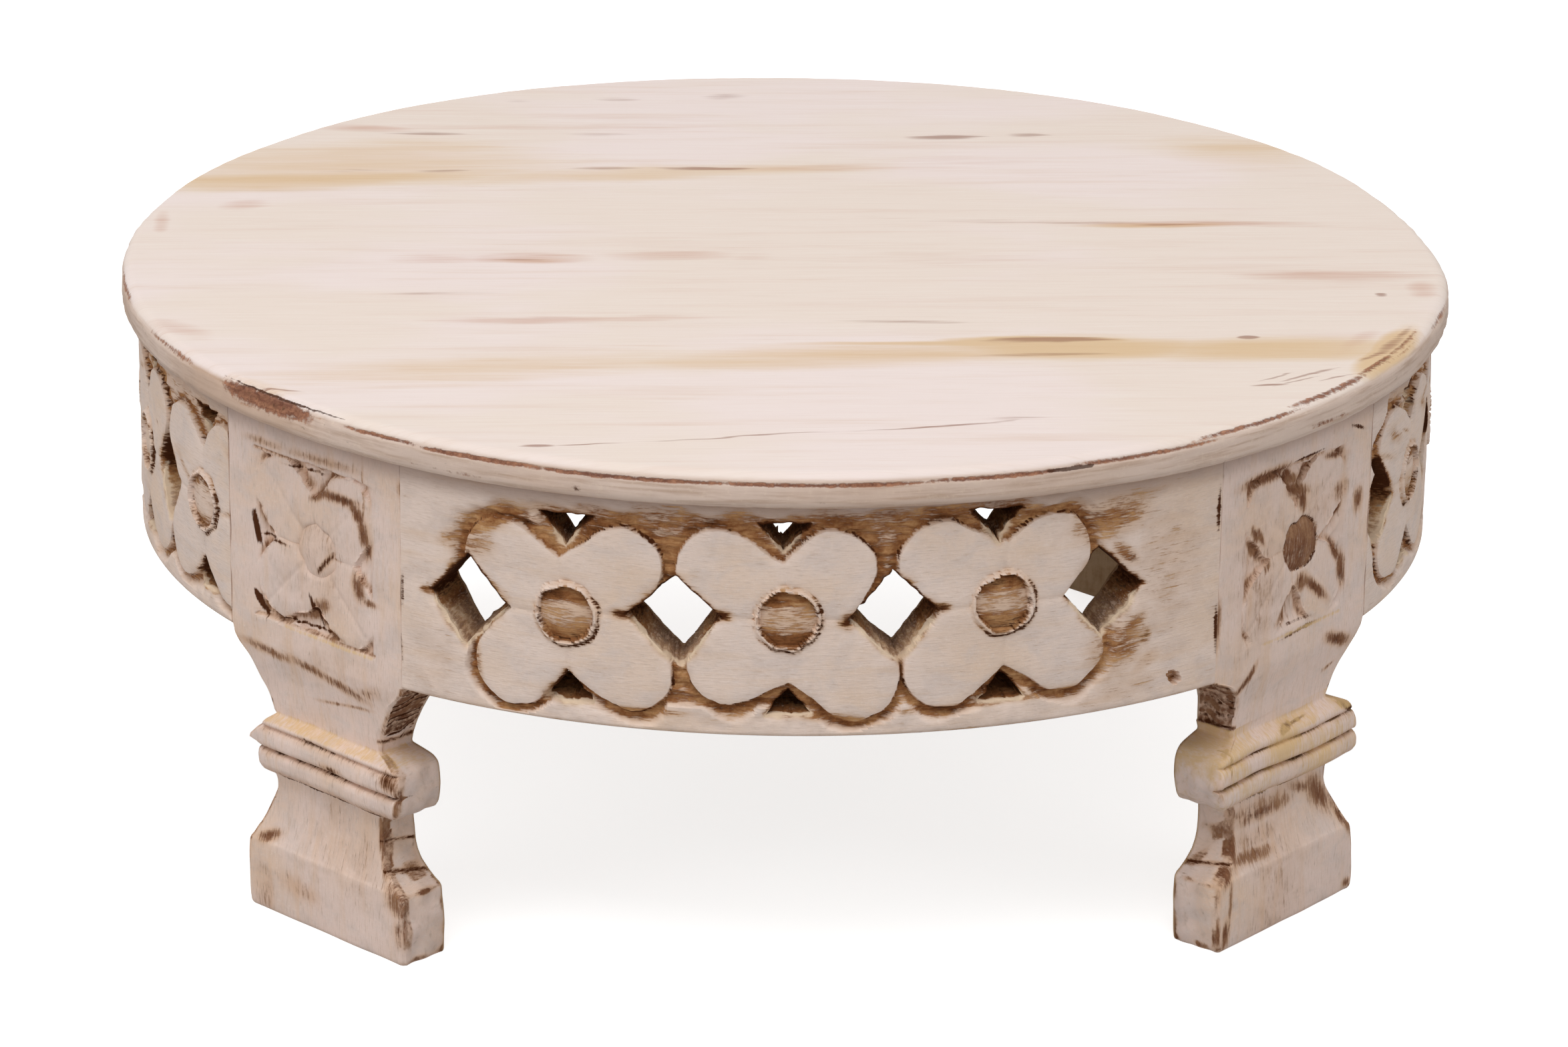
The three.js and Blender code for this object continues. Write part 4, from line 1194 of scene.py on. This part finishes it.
def top_disc():
    """The whole top before it is sawn into its boards."""
    quarter = np.pi / 2
    upper = np.linspace(quarter, 0, 15)
    lower = np.linspace(0, -quarter, 9)
    degrees = np.linspace(-180, 180, rim_columns, endpoint=False)
    turn = np.radians(degrees)
    edge_round = front_edge_round + (back_edge_round - front_edge_round) * eased((np.abs(degrees) - 70) / 50)
    edge_round = edge_round[:, None]
    plain = np.ones((rim_columns, 1))
    radii = np.concatenate([
        -edge_round - np.array([[8.0, 3.0, 1.0]]),
        edge_round * (np.cos(upper) - 1),
        plain * top_foot_round * (np.cos(lower) - 1),
        plain * (-top_foot_round - np.array([[1.0, 4.0, 10.0]])),
    ], axis=1)
    level = np.concatenate([
        plain * np.full((1, 3), top_level),
        top_level + edge_round * (np.sin(upper) - 1),
        plain * (top_bottom + top_foot_round * (np.sin(lower) + 1)),
        plain * np.full((1, 3), top_bottom),
    ], axis=1)
    steps = np.hypot(np.diff(radii, axis=1), np.diff(level, axis=1))
    along = np.concatenate([np.zeros((rim_columns, 1)), np.cumsum(steps, axis=1)], axis=1)
    along = along - along[:, 3:4]
    short = np.interp(degrees, *np.array(shortfalls).T)
    ripple_radius, wobble = 229, 0.15
    x_ring, y_ring = np.sin(turn) * ripple_radius, -np.cos(turn) * ripple_radius
    radius = top_radius - short - wobble + wobble * ripple(x_ring, y_ring, 60, 71)
    radial = radius[:, None] + radii
    around = np.repeat(degrees[:, None], radii.shape[1], axis=1)
    arc = around * np.pi / 180 * top_radius
    brown, dark = np.zeros(along.shape), np.zeros(along.shape)
    for place, spread, middle, half_width, brownness, darkness in edge_wear:
        shape = np.exp(-(((around - place) / spread) ** 4) - 0.7 * ((along - middle) / half_width) ** 2)
        brown = np.maximum(brown, brownness * shape)
        dark = np.maximum(dark, darkness * shape)
    worn = np.exp(-(((around + 49.5) / 7) ** 4) - (((along - 4.6) / 3.4) ** 4))
    rough = 0.5 + 0.5 * ripple(arc, along, 4, 72)
    radial = radial - worn * (0.7 + 0.5 * rough) - eased(brown) * 0.3 * (0.6 + 0.5 * rough)
    level = level - worn * 0.35 * (along < 6)
    edge = (along > 0) & (along < along[:, -4:-3])
    radial = radial - edge * 0.08 * (1 + ripple(arc, along, 13, 73))
    places = np.stack([radial * np.sin(turn)[:, None], -radial * np.cos(turn)[:, None], level], 2)
    wear = np.stack([brown, dark, np.zeros(brown.shape)], 2)
    flow = np.stack([arc, level, along], 2)
    return places, flow, wear


def sawn_boards():
    """Saws the disc along its two joints into closed boards."""
    places, flow, wear = top_disc()
    columns, rows = places.shape[:2]
    index = np.arange(columns * rows).reshape(columns, rows)
    following = np.roll(index, -1, axis=0)
    quads = np.stack([index[:, :-1], index[:, 1:], following[:, 1:], following[:, :-1]], 2).reshape(-1, 4)
    faces = quads.tolist() + [index[:, 0].tolist(), index[::-1, -1].tolist()]
    disc = worn_mesh("disc", places.reshape(-1, 3), faces, flow, wear)
    far = 1.0
    edge = board_joint * mm
    seam = board_seam * mm / 2
    bounds = {
        "front": (-far, -edge - seam),
        "middle": (seam - edge, edge - seam),
        "back": (edge + seam, far),
    }
    boards = {}
    for place, (low, high) in bounds.items():
        sawing = bmesh.new()
        sawing.from_mesh(disc)
        for y, outward in ((low, -1), (high, 1)):
            geometry_in = sawing.verts[:] + sawing.edges[:] + sawing.faces[:]
            cut = bmesh.ops.bisect_plane(
                sawing, geom=geometry_in, plane_co=(0, y, 0), plane_no=(0, outward, 0), clear_outer=True
            )
            edges = [item for item in cut["geom_cut"] if isinstance(item, bmesh.types.BMEdge)]
            if edges:
                bmesh.ops.holes_fill(sawing, edges=edges)
        bmesh.ops.triangulate(sawing, faces=[face for face in sawing.faces if len(face.verts) > 4])
        bmesh.ops.recalc_face_normals(sawing, faces=sawing.faces[:])
        mesh = bpy.data.meshes.new(f"board_{place}")
        sawing.to_mesh(mesh)
        sawing.free()
        mesh.set_sharp_from_angle(angle=math.radians(40))
        boards[place] = linked(f"board_{place}", mesh)
    bpy.data.meshes.remove(disc)
    return boards


# Marks on the flat of the top, from its middle: place, half length, half width, slope and strength.
ochre_marks = [
    (-168, 91, 110, 17, 0.1, 0.8), (-150, 110, 100, 36, 0.06, 0.6), (-130, 126, 54, 24, 0, 0.5),
    (-50, 97, 120, 12, 0.1, 0.6), (95, -105, 60, 17, 0, 1), (78, -98, 44, 6, 0.04, 1.5),
    (60, -98, 80, 4, 0.03, 0.9), (155, -107, 70, 17, 0.02, 0.85), (20, -111, 130, 17, 0.09, 0.65),
    (-95, -122, 110, 20, 0.14, 0.5), (172, 124, 40, 28, -0.1, 0.55), (132, 32, 34, 4.5, 0, 0.9),
    (-90, -5, 18, 3.4, 0, 0.5), (194, -110, 17, 18, 1.5, 1.3), (-178, -140, 18, 9, -0.7, 0.5),
]
rose_marks = [
    (-76, -72, 66, 5, 0, 0.7), (-40, -2, 32, 7, -0.02, 0.6), (-118, -4, 26, 6, 0, 0.5),
    (-90, -4, 30, 6, 0, 0.75), (-12, -4, 16, 6, 0, 0.4), (40, -6, 90, 8, 0, 0.4),
    (140, 33, 62, 6, -0.01, 0.6), (186, -27, 46, 9, 0, 0.6), (186, -98, 14, 8, 1.4, 0.35),
    (216, -42, 7, 14, 0.3, 0.5), (-218, 40, 4, 18, 0, 0.6), (-190, 60, 12, 10, 0.1, 0.5),
    (-150, 155, 24, 7, -0.1, 0.6), (40, 108, 80, 12, 0.1, 0.35), (-60, 160, 90, 16, 0, 0.25),
    (-205, -82, 16, 9, -0.6, 0.5),
]
grey_marks = [
    (-24, 103.5, 22, 3.2, 0.02, 1), (-120, 101, 14, 4, 0, 0.7), (-62, 103, 18, 2.6, 0, 0.6),
    (-150, 102, 20, 2.6, 0, 0.45), (66, 144, 19, 4, 0.02, 1), (97, 147, 11, 4, 0, 0.7),
    (-126, 149, 20, 4, -0.03, 0.75), (-62, 147, 20, 5, 0, 0.5), (-54, 195, 14, 4, 0, 0.6),
    (-14, 198, 13, 5, 0.1, 0.65), (-92, 192, 9, 4, 0.1, 0.5), (35, -76, 32, 2.6, 0, 0.6),
    (-85, -71, 30, 1.8, 0, 0.5), (-118, -43, 30, 3, 0, 0.45), (-92, -4, 14, 2.2, 0, 0.6),
    (100, 37, 90, 4, -0.06, 0.4), (135, 33, 20, 2, 0, 0.7), (84, -96.5, 30, 3.4, 0.05, 1.1),
    (80, -111, 34, 3, 0.02, 0.6), (150, -94, 5, 3, 0, 1.4), (196, -103, 10, 6, 1.5, 0.75),
    (190, -112, 9, 3, 1.2, 0.8), (202, -92, 6, 4, 1.8, 0.7), (201, -47, 3, 3, 0, 1),
    (-88, -202, 8, 2, 0.1, 1.2), (-72, -199.5, 18, 1, 0.16, 1), (-25, -192.5, 48, 0.9, 0.12, 0.85),
    (38, -183.5, 38, 1, 0.17, 0.95), (65, -177, 14, 3, 0, 0.55), (151, -144.5, 9, 1.5, 0.1, 1),
    (165, -134, 15, 1.5, 0.7, 0.9), (154, -136, 9, 1.1, 0.6, 0.8), (174, -137, 10, 1.2, 0.75, 0.8),
    (160, -141, 12, 1, 0.6, 0.8), (-172, -143, 12, 1.6, -0.5, 0.9),
]


def streaked(place, marks):
    """The strongest of several long marks at a place, faded towards their ends and sides."""
    x, y, _ = place.parts()
    total = None
    for mark_x, mark_y, half_length, half_width, slope, strength in marks:
        along = (x - mark_x * mm) * (1 / (half_length * mm))
        across = (y - mark_y * mm - (x - mark_x * mm) * slope) * (1 / (half_width * mm))
        shape = ((1 - (along * along + across * across)).at_least(0.0)) * strength
        total = shape if total is None else total.at_least(shape)
    return total


def top_whitewash():
    """The top's paint: broad brushed whitewash with the boards' own colours showing through."""
    material, shader, wire = new_material("top_whitewash")
    place = wire.node("ShaderNodeTexCoord", output="Object")
    brown, dark, _ = wire.node("ShaderNodeAttribute", attribute_name="wear", output="Vector").parts()
    height = place.parts()[2]
    waver = place.noise((16, 60, 16), 3, 0.5)
    fibre = place.noise((34, 1100, 400), 4, 0.62)
    brush = place.noise((9, 150, 60), 4, 0.6)
    cloud = place.noise((7, 12, 8), 3, 0.5)
    speck = place.noise((500, 500, 500), 3, 0.7)
    flow = wire.node("ShaderNodeAttribute", attribute_name="flow", output="Vector")
    trailing = flow.noise((34, 60, 620), 4, 0.65)
    bent = wire.node("ShaderNodeCombineXYZ", {"X": 0.0, "Y": (waver - 0.5) * 0.012, "Z": 0.0})
    drifted = wire.node("ShaderNodeVectorMath", {0: place, 1: bent}, operation="ADD")

    ochre = (streaked(drifted, ochre_marks) + (brush - 0.5) * 0.5 + (fibre - 0.5) * 0.3).step(0.06, 0.95)
    rose = (streaked(drifted, rose_marks) + (brush - 0.5) * 0.9 + (fibre - 0.5) * 0.5).step(0.1, 0.95)
    grey = (streaked(drifted, grey_marks) + (fibre - 0.5) * 1.2 + (brush - 0.5) * 0.4).step(0.25, 0.95)
    flat = wire.layered(
        tint(239, 223, 211),
        (tint(242, 226, 220), cloud.step(0.42, 0.6)),
        (tint(231, 208, 194), brush.step(0.48, 0.76) * 0.55),
        (tint(224, 203, 188), fibre.step(0.52, 0.84) * 0.45),
        (tint(248, 240, 232), fibre.step(0.48, 0.25) * 0.3),
        (tint(217, 178, 118), ochre * 0.7),
        (tint(200, 148, 122), rose * 0.7),
        (tint(140, 84, 58), grey * 0.66),
    )

    # The edge is brushed along, and rubbed through to the wood.
    edge = ((top_level - 1.2) * mm - height).step(0.0, 0.0016)
    spots = place.noise((150, 150, 330), 3, 0.6).step(0.69, 0.76)
    side = wire.layered(
        tint(222, 199, 184),
        (tint(196, 168, 148), trailing.step(0.42, 0.72)),
        (tint(234, 214, 194), speck.step(0.5, 0.75) * 0.4),
        (tint(196, 160, 132), cloud.step(0.48, 0.66) * 0.5),
        (tint(128, 116, 92), spots * 0.6),
    )
    rub = (speck - 0.5) * 0.8 + (trailing - 0.5) * 0.5 + (cloud - 0.5) * 0.6 + (fibre - 0.5) * 0.5
    bare = (brown + rub).step(0.38, 0.72)
    worn = (dark + rub * 0.8).step(0.42, 0.66)
    wood_tone = (speck * 0.5 + trailing * 0.5).step(0.4, 0.68)
    wood = wire.layered(tint(104, 52, 30), (tint(184, 128, 96), wood_tone))

    # The underside was never painted.
    beneath = ((top_bottom + 0.5) * mm - height).step(0.0, 0.0006)
    sawn = place.noise((14, 300, 60), 5, 0.6, 0.3).step(0.36, 0.68)
    board = wire.layered(tint(166, 126, 84), (tint(205, 170, 126), sawn))
    colour = wire.layered(
        flat, (side, edge), (wood, bare * 0.92), (tint(66, 36, 20), worn * 0.85), (board, beneath)
    )
    relief = fibre * 0.3 + brush * 0.2 + (1 - bare) * 0.5 + speck * 0.1
    dressed(wire, shader, colour, relief, 0.0003, 0.5 + fibre * 0.12 + bare * 0.2)
    shader.inputs["Specular IOR Level"].default_value = 0.22
    return material


top_paint = top_whitewash()
for place, board in sawn_boards().items():
    finished(board, top_paint, "painted_top", f"top_board_{place}")


# The battens and corner blocks: plain sawn hardwood under the top, which keeps the three boards
# flat and ties the legs to them. Their edges are eased with a plane, and they are left bare.
planed_width = 1.0


def planed(node):
    """A copy of a CAD piece with its edges eased."""
    cad_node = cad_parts[node]
    mesh = cad_node.data.copy()
    mesh.transform(cad_node.matrix_world)
    easing = bmesh.new()
    easing.from_mesh(mesh)
    bmesh.ops.remove_doubles(easing, verts=easing.verts[:], dist=0.01 * mm)
    level = math.radians(1)
    bmesh.ops.dissolve_limit(easing, angle_limit=level, verts=easing.verts[:], edges=easing.edges[:])
    sharp = [edge for edge in easing.edges if edge.calc_face_angle(0) > math.radians(60)]
    outer = [edge for edge in sharp if edge.calc_length() > 12 * mm]
    bmesh.ops.bevel(easing, geom=outer, offset=planed_width * mm, segments=3, profile=0.5, affect="EDGES")
    bmesh.ops.triangulate(easing, faces=easing.faces[:])
    easing.to_mesh(mesh)
    easing.free()
    mesh.set_sharp_from_angle(angle=math.radians(30))
    return linked(f"planed_{node}", mesh)


batten_wood = plain_wood("batten_wood", tint(202, 160, 110), tint(140, 98, 60), (260, 16, 220))
block_wood = plain_wood("block_wood", tint(198, 156, 108), tint(142, 102, 64), (120, 120, 260))
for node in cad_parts:
    if node.startswith("batten_") and "screw" not in node:
        finished(planed(node), batten_wood, "bare_wood", node)
    elif node.startswith("corner_block"):
        finished(planed(node), block_wood, "bare_wood", node)


# The screws: fourteen countersunk wood screws of bright steel with crossed slots. Six hold the
# battens to the boards, and each block has one up into the top and one out into its leg.
screw_sizes = {"Head Radius": 4.0, "Head Height": 2.4, "Shank Radius": 2.0}
slot_length, slot_width, slot_depth = 5.0 * mm, 0.9 * mm, 2.4 * mm
thread_ridges, thread_swell, screw_tip_radius = 40, 0.14, 0.4 * mm


def screw_seats():
    """Each screw's node, the middle of its head's face, its direction and its length."""
    seats = []
    for name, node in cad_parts.items():
        if "screw" not in name:
            continue
        places = np.array([node.matrix_world @ vertex.co for vertex in node.data.vertices])
        middle = places.mean(axis=0)
        away = places - middle
        direction = np.linalg.svd(away, full_matrices=False)[2][0]
        along = away @ direction
        spread = np.linalg.norm(away - np.outer(along, direction), axis=1)
        if along[np.argmax(spread)] > 0:
            direction, along = -direction, -along
        seats.append((name, middle + direction * along.min(), direction, np.ptp(along)))
    return seats


def screw_tree():
    """Geometry nodes that set one screw on every point, turned by the point's rotation."""
    tree = bpy.data.node_groups.new("screws", "GeometryNodeTree")
    tree.interface.new_socket("Geometry", in_out="INPUT", socket_type="NodeSocketGeometry")
    for label, size in screw_sizes.items():
        socket = tree.interface.new_socket(label, in_out="INPUT", socket_type="NodeSocketFloat")
        socket.default_value = size * mm
    tree.interface.new_socket("Material", in_out="INPUT", socket_type="NodeSocketMaterial")
    tree.interface.new_socket("Geometry", in_out="OUTPUT", socket_type="NodeSocketGeometry")

    add = Wire(tree).node
    given = {socket.name: Wire(tree, socket) for socket in tree.nodes.new("NodeGroupInput").outputs}
    kinds = {"length": "FLOAT", "turned": "FLOAT_VECTOR"}
    length, turned = (
        add("GeometryNodeInputNamedAttribute", {"Name": name}, output="Attribute", data_type=kind)
        for name, kind in kinds.items()
    )
    cone = {"Vertices": 40, "Side Segments": 3, "Radius Top": given["Shank Radius"]}
    cone |= {"Radius Bottom": given["Head Radius"], "Depth": given["Head Height"]}
    head = add("GeometryNodeMeshCone", cone, fill_type="NGON")
    slots = [
        add("GeometryNodeMeshCube", {"Size": size})
        for size in ((slot_length, slot_width, slot_depth), (slot_width, slot_length, slot_depth))
    ]
    cross = add("GeometryNodeMeshBoolean", {"Mesh 2": slots}, operation="UNION", solver="EXACT")
    meshes = {"Mesh 1": head, "Mesh 2": cross}
    slotted = add("GeometryNodeMeshBoolean", meshes, operation="DIFFERENCE", solver="EXACT")
    cone = {"Vertices": 20, "Side Segments": thread_ridges, "Radius Top": screw_tip_radius}
    cone |= {"Radius Bottom": given["Shank Radius"], "Depth": 1.0}
    shank = add("GeometryNodeMeshCone", cone, fill_type="NGON")
    place = add("GeometryNodeInputPosition")
    phase = place.parts()[2] * (math.pi * thread_ridges)
    swell = phase.math("COSINE") * thread_swell
    sideways = add("ShaderNodeVectorMath", {0: place, 1: (1, 1, 0)}, operation="MULTIPLY")
    push = add("ShaderNodeVectorMath", {0: sideways, "Scale": swell}, operation="SCALE")
    threaded = add("GeometryNodeSetPosition", {"Geometry": shank, "Offset": push})
    spin = add("FunctionNodeEulerToRotation", {"Euler": turned})
    stretch = add("ShaderNodeCombineXYZ", {"X": 1.0, "Y": 1.0, "Z": length})
    parts = []
    for instance, scale in ((slotted, (1, 1, 1)), (threaded, stretch)):
        links = {"Points": given["Geometry"], "Instance": instance, "Rotation": spin, "Scale": scale}
        parts.append(add("GeometryNodeInstanceOnPoints", links))
    whole = add("GeometryNodeJoinGeometry", {"Geometry": parts})
    real = add("GeometryNodeRealizeInstances", {"Geometry": whole})
    coated = add("GeometryNodeSetMaterial", {"Geometry": real, "Material": given["Material"]})
    out = tree.nodes.new("NodeGroupOutput")
    tree.links.new(coated.socket, out.inputs["Geometry"])
    return tree


def screw_steel():
    material, shader, wire = new_material("screw_steel")
    place = wire.node("ShaderNodeTexCoord", output="Object")
    brushed = place.noise((900, 900, 900), 4, 0.6)
    stain = place.noise((260, 260, 260), 3, 0.6)
    colour = wire.layered(tint(168, 166, 160), (tint(112, 104, 94), stain.step(0.45, 0.7)))
    dressed(wire, shader, colour, brushed, 0.00005, 0.32 + stain * 0.25)
    shader.inputs["Metallic"].default_value = 1.0
    return material


seats = screw_seats()
seat_points = bpy.data.meshes.new("screw_seats")
seat_points.from_pydata([tuple(seat[1]) for seat in seats], [], [], shade_flat=False)
turns = []
for _, _, direction, _ in seats:
    turns += list(Vector((0, 0, 1)).rotation_difference(Vector(direction)).to_euler())
seat_points.attributes.new("turned", "FLOAT_VECTOR", "POINT").data.foreach_set("vector", turns)
lengths = [seat[3] for seat in seats]
seat_points.attributes.new("length", "FLOAT", "POINT").data.foreach_set("value", lengths)
screw_object = linked("screw_seats", seat_points)
steel = screw_steel()
setter = screw_object.modifiers.new("screws", "NODES")
setter.node_group = screw_tree()
for item in setter.node_group.interface.items_tree:
    if item.item_type == "SOCKET" and item.in_out == "INPUT" and item.name == "Material":
        setter[item.identifier] = steel
evaluated = screw_object.evaluated_get(bpy.context.evaluated_depsgraph_get())
screw_mesh = bpy.data.meshes.new_from_object(evaluated)
bpy.data.objects.remove(screw_object)
finished(linked("wood_screws", screw_mesh), steel, "screw_steel", *[seat[0] for seat in seats])


# The room: a plain pale floor, a large soft lamp over the front of the table with two weaker ones
# beside it, and a camera with a long lens a little above the table, turned slightly to its left.
sensor_width = 36.0
lens = 137.0
camera_distance = 2106.5
camera_elevation, camera_turn, camera_roll = (math.radians(value) for value in (20.03, -3.0, 0.75))
target_aside, target_height = 0.46, 88.3
target = (target_aside * math.cos(camera_turn), target_aside * math.sin(camera_turn), target_height)
target = Vector(target) * mm

camera_data = bpy.data.cameras.new("camera")
camera_data.lens = lens
camera_data.sensor_width = sensor_width
camera = linked("camera", camera_data)
back = Vector((
    math.sin(camera_turn) * math.cos(camera_elevation),
    -math.cos(camera_turn) * math.cos(camera_elevation),
    math.sin(camera_elevation),
))
level = Vector((math.cos(camera_turn), math.sin(camera_turn), 0))
upward = back.cross(level)
right = level * math.cos(camera_roll) + upward * math.sin(camera_roll)
up = upward * math.cos(camera_roll) - level * math.sin(camera_roll)
stand = target + back * camera_distance * mm
camera.matrix_world = Matrix.Translation(stand) @ Matrix((right, up, back)).transposed().to_4x4()
bpy.context.scene.camera = camera

floor_half = 4.0
floor_mesh = bpy.data.meshes.new("floor")
corners = [(side * floor_half, end * floor_half, 0) for side, end in ((-1, -1), (1, -1), (1, 1), (-1, 1))]
floor_mesh.from_pydata(corners, [], [(0, 1, 2, 3)])
floor = linked("floor", floor_mesh)
floor_paint, floor_shader, floor_wire = new_material("pale_floor")
watched = floor_wire.node("ShaderNodeLightPath", output="Is Camera Ray")
for name, unseen, seen in (("Base Color", 0.5, 0.93), ("Emission Color", 0, 0.74)):
    shade = floor_wire.layered((unseen, unseen, unseen, 1), ((seen, seen, seen, 1), watched))
    floor_paint.node_tree.links.new(shade.socket, floor_shader.inputs[name])
for name, value in (("Emission Strength", 1), ("Roughness", 1), ("Specular IOR Level", 0)):
    floor_shader.inputs[name].default_value = value
floor_mesh.materials.append(floor_paint)


def soft_lamp(name, place, size, power):
    """A square lamp that looks at the table."""
    light = bpy.data.lights.new(name, "AREA")
    light.size = size
    light.energy = power
    lamp = linked(name, light)
    lamp.location = place
    lamp.rotation_euler = (Vector((0, 0, 0.1)) - Vector(place)).to_track_quat("-Z", "Y").to_euler()


soft_lamp("key_lamp", (-0.4, -1.1, 2.6), 2.0, 35)
soft_lamp("left_lamp", (-2.2, -1.4, 0.9), 1.4, 7)
soft_lamp("right_lamp", (2.2, -1.4, 0.9), 1.4, 5)

world = bpy.data.worlds.new("studio")
bpy.context.scene.world = world
world.use_nodes = True
background = world.node_tree.nodes["Background"]
world_wire = Wire(world.node_tree)
ray = world_wire.node("ShaderNodeLightPath", output="Is Camera Ray")
gloss_ray = world_wire.node("ShaderNodeLightPath", output="Is Glossy Ray")
seen = ray.at_least(gloss_ray)
unseen_strength = 0.51
strength = seen + (1 - seen) * unseen_strength
background.inputs["Color"].default_value = (1, 1, 1, 1)
world.node_tree.links.new(strength.socket, background.inputs["Strength"])
bpy.context.scene.view_settings.view_transform = "Standard"
